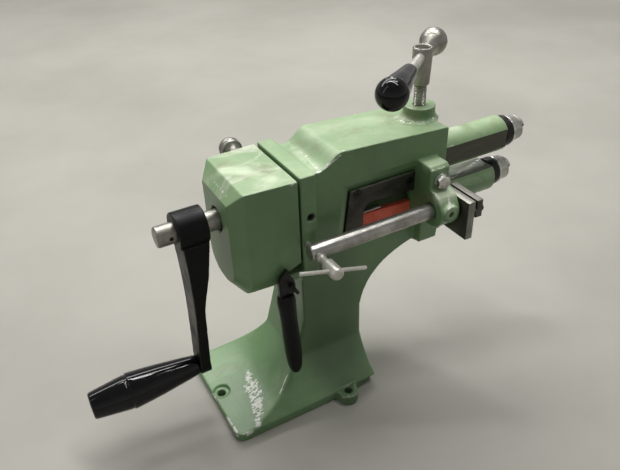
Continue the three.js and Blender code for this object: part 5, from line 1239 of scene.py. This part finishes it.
def pivot_pins():
    for node, name, at, way in (
        ("pivot_pin_front", "pin_front", FLANGE_FRONT + 3, Y),
        ("pivot_pin_back", "pin_back", FLANGE_BACK - 3, -Y),
    ):
        low, high = span(node)
        profile = [(0, 0), (4.4, 0), (5, 0.6), (5, high.y - low.y), (0, high.y - low.y)]
        shape = cut(turned(profile, 40, 0.15), moved(hexagon(5, 6), z=-3))
        piece(name, aimed(shape, (PIVOT_X, at, UPPER_Z), way), "frame", dark_steel, [node])


def cover_knob():
    low, high = span("cover_knob")
    x, z = (low.x + high.x) / 2, (low.z + high.z) / 2
    seat = high.y - 38
    profile = [(0, low.y - seat), (4, low.y - seat), (4, 0), (9, 0), (9, 5.4), (8, 7), (7.6, 12), (8, 18)]
    profile += [(10.5, 20.4), (13.2, 21.4), (14, 23), (14, 25.2), (13.2, 26), (13.2, 26.8)]
    profile += [(14, 27.6), (14, 32), (13, 35.4), (11, 37.2), (8, 38), (0, 38)]
    shape = aimed(turned(profile, 72, 0.4), (x, seat, z), Y)
    piece("knob_cover", shape, "knob", satin, ["cover_knob"], 50)


# ---- lever

LEVER = Vector((-21, -62.5, 209))
LEVER_LEAN = math.radians(-3.5)


def leaned(bm):
    """Sets a shape drawn at the lever's pivot to its lean and place."""
    turn = Matrix.Rotation(LEVER_LEAN, 4, "Y")
    bmesh.ops.transform(bm, matrix=Matrix.Translation(LEVER) @ turn, verts=bm.verts[:])
    return bm


def lever():
    outline = arc((-3, 20.5), 2.5, 0, 180, 8) + [(-9, 17.5), (-13.5, 13), (-15.3, 8), (-16.6, -13)]
    outline += [(-15, -14), (-15, -79), (-1.5, -79), (-1.5, -14), (2.6, -13), (4.5, -8)]
    outline += [(5.7, 0), (4.5, 6), (0.5, 15)]
    blade = moved(extruded(rounded(outline, 3, 3, closed=True), 7, "xz"), y=-3.5)
    blade = cut(softened(blade, 0.8, 40), bar((3.5, 30, 32), (0, 15, 0), -Y))
    piece("lever_blade", leaned(blade), "lever", dark_steel, ["align_lever"], 30)
    profile = [(0, 0), (2.6, 0.5), (5.6, 3.5), (8.2, 9.5), (9.9, 20), (10.7, 36), (10.9, 60), (10.7, 85)]
    profile += [(10.7, 100), (11.2, 110), (11.6, 118), (11.7, 126), (11, 131), (8.8, 134.5), (0, 134.5)]
    grip = turned(profile, 64, 1.5)
    grip = moved(cut(grip, block(-7.3, 7.3, -3.8, 3.8, 67, 140)), x=-8.2, z=-147)
    piece("lever_grip", leaned(grip), "lever", lever_plastic, ["align_lever_grip"], 40)
    low, high = span("lever_pin")
    step, end = high.y + 70, high.y - low.y
    profile = [(0, 0), (3.2, 0), (3.2, step), (2.2, step), (2.2, end), (0, end)]
    pin = aimed(turned(profile, 40, 0.4), (LEVER.x, high.y, LEVER.z), -Y)
    piece("pin_lever", pin, "frame", dark_steel, ["lever_pin"])


# ---- lift spring and pressure shoe


def pressure_shoe():
    """Saddle under the spindle, hollowed a little more at its ends for the arm's tilt."""
    low, high = span("pressure_shoe")
    radius, middle = (high.x - low.x) / 2, Vector((SCREW_X, 0, UPPER_Z))
    profile = [(0, low.z), (radius, low.z), (radius, high.z - 1), (radius - 1, high.z), (0, high.z)]
    blank = moved(turned(profile, 64, 0.2), SCREW_X)
    for tilt in (-0.03, 0, 0.03):
        along = Vector((1, 0, tilt)).normalized()
        blank = cut(blank, bar((ARM_R + 0.01, 80, 96), middle - 40 * along, along))
    piece("shoe_pressure", blank, "shoe", gear_metal, ["pressure_shoe"], 30)


def lift_spring():
    """Open coil under the upper arm."""
    low, high = span("lift_spring")
    wire, coil, turns = 1.5, 9, 3
    spring = capped(spun(section(wire, coil, 12), 24 * turns, turns, high.z - low.z - 2 * wire))
    spring = moved(spring, (low.x + high.x) / 2, 0, low.z + wire)
    spring = piece("spring_lift", spring, "frame", dark_steel, ["lift_spring"], 60)
    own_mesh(spring)


# ---- pieces kept from the solids


def keep(material, *nodes):
    """Gives CAD nodes that stay in sight or inside their finish."""
    for node in nodes:
        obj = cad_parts[node]
        obj.data.materials.clear()
        obj.data.materials.append(material)


def kept_nodes():
    keep(bronze, "upper_front_bush", "upper_rear_bush", "lower_front_bush", "lower_rear_bush")
    keep(gear_metal, "upper_gear", "lower_gear", "upper_gear_ring", "lower_gear_nut")
    keep(bright, "upper_gear_key", "lower_gear_key", "crank_key", "crank_grip_pin")


# ---- stage


def floor():
    bm = bmesh.new()
    bmesh.ops.create_grid(bm, x_segments=1, y_segments=1, size=14)
    mesh = bpy.data.meshes.new("floor")
    bm.to_mesh(mesh)
    bm.free()
    ground = bpy.data.objects.new("floor", mesh)
    bpy.context.scene.collection.objects.link(ground)
    f = Finish("pale_floor")
    cloud = f.grain(1.3, 5, 0.6)
    pale = f.clouded(cloud, 0.3, 0.7, (179, 176, 168), (163, 160, 152))
    base = f.blend(shown(f.tree), tone(150, 149, 143), pale)
    mesh.materials.append(f.done(base, 0.7, specular=0.35))


def shown(tree):
    """One for what the camera, a gloss or a clear surface shows, nothing for bounced light."""
    path = tree.nodes.new("ShaderNodeLightPath").outputs
    total = path["Is Camera Ray"]
    for kind in ("Is Glossy Ray", "Is Transmission Ray"):
        total = made(tree, "Math", {0: total, 1: path[kind]}, operation="ADD", use_clamp=True)
    return total


LIT_PLACE = Vector((0.05, 0, 0.2))


def lamp(name, at, size, power, colour=(1, 1, 1)):
    data = bpy.data.lights.new(name, "AREA")
    data.shape = "RECTANGLE"
    data.size, data.size_y = size
    data.energy = power
    data.color = colour
    obj = bpy.data.objects.new(name, data)
    obj.location = at
    obj.rotation_euler = (LIT_PLACE - Vector(at)).to_track_quat("-Z", "Y").to_euler()
    bpy.context.scene.collection.objects.link(obj)


def studio():
    lamp("tube_above", (0.7, 0.3, 2.9), (2.6, 0.14), 38, (1.0, 1.0, 0.99))
    lamp("tube_middle", (0.6, 0.95, 2.9), (2.8, 0.14), 36, (1.0, 1.0, 0.99))
    lamp("tube_behind", (0.3, 2.6, 2.8), (4.8, 0.5), 70, (1.0, 0.99, 0.97))
    lamp("tube_left", (-2.4, 0.4, 2.4), (0.15, 3.0), 7)
    world = bpy.data.worlds.new("studio")
    bpy.context.scene.world = world
    world.use_nodes = True
    tree = world.node_tree
    direction = tree.nodes.new("ShaderNodeTexCoord").outputs["Generated"]
    height = made(tree, "SeparateXYZ", {0: direction}, "Z")

    def by_height(low, high):
        """Strength that changes from the horizon to high above."""
        ends = {"Value": height, "From Min": 0.0, "From Max": 0.8, "To Min": low, "To Max": high}
        return made(tree, "MapRange", ends, "Result")

    light, picture = by_height(0.07, 0.24), by_height(0.56, 0.22)
    sky = tree.nodes["Background"].inputs
    fill(tree, sky["Color"], (1.0, 1.0, 0.985, 1.0))
    fill(tree, sky["Strength"], made(tree, "Mix", {0: shown(tree), 2: light, 3: picture}))


def camera():
    """The photograph's view: its turn, height, roll, lens and place."""
    azimuth, elevation, roll = (math.radians(a) for a in (-27.99, 34.05, -2.265))
    data = bpy.data.cameras.new("camera")
    data.sensor_width = 36
    data.lens = 37.37
    obj = bpy.data.objects.new("camera", data)
    tilt = Matrix.Rotation(math.pi / 2 - elevation, 4, "X")
    turn = Matrix.Rotation(azimuth, 4, "Z") @ tilt @ Matrix.Rotation(roll, 4, "Z")
    obj.matrix_world = Matrix.Translation((-0.28223, -0.60905, 0.68769)) @ turn
    bpy.context.scene.collection.objects.link(obj)
    bpy.context.scene.camera = obj


body_casting()
gear_cover()
upper_arm()
lower_arm()
shafts()
collars()
crank_arm()
crank_grip()
pressure_screw()
gauge()
clamping_screw()
window_plate()
window_bars()
hexagon_bolt()
grub_screw()
pivot_pins()
cover_knob()
lever()
lift_spring()
pressure_shoe()
kept_nodes()
floor()
studio()
camera()

bpy.context.scene.view_settings.view_transform = "Standard"
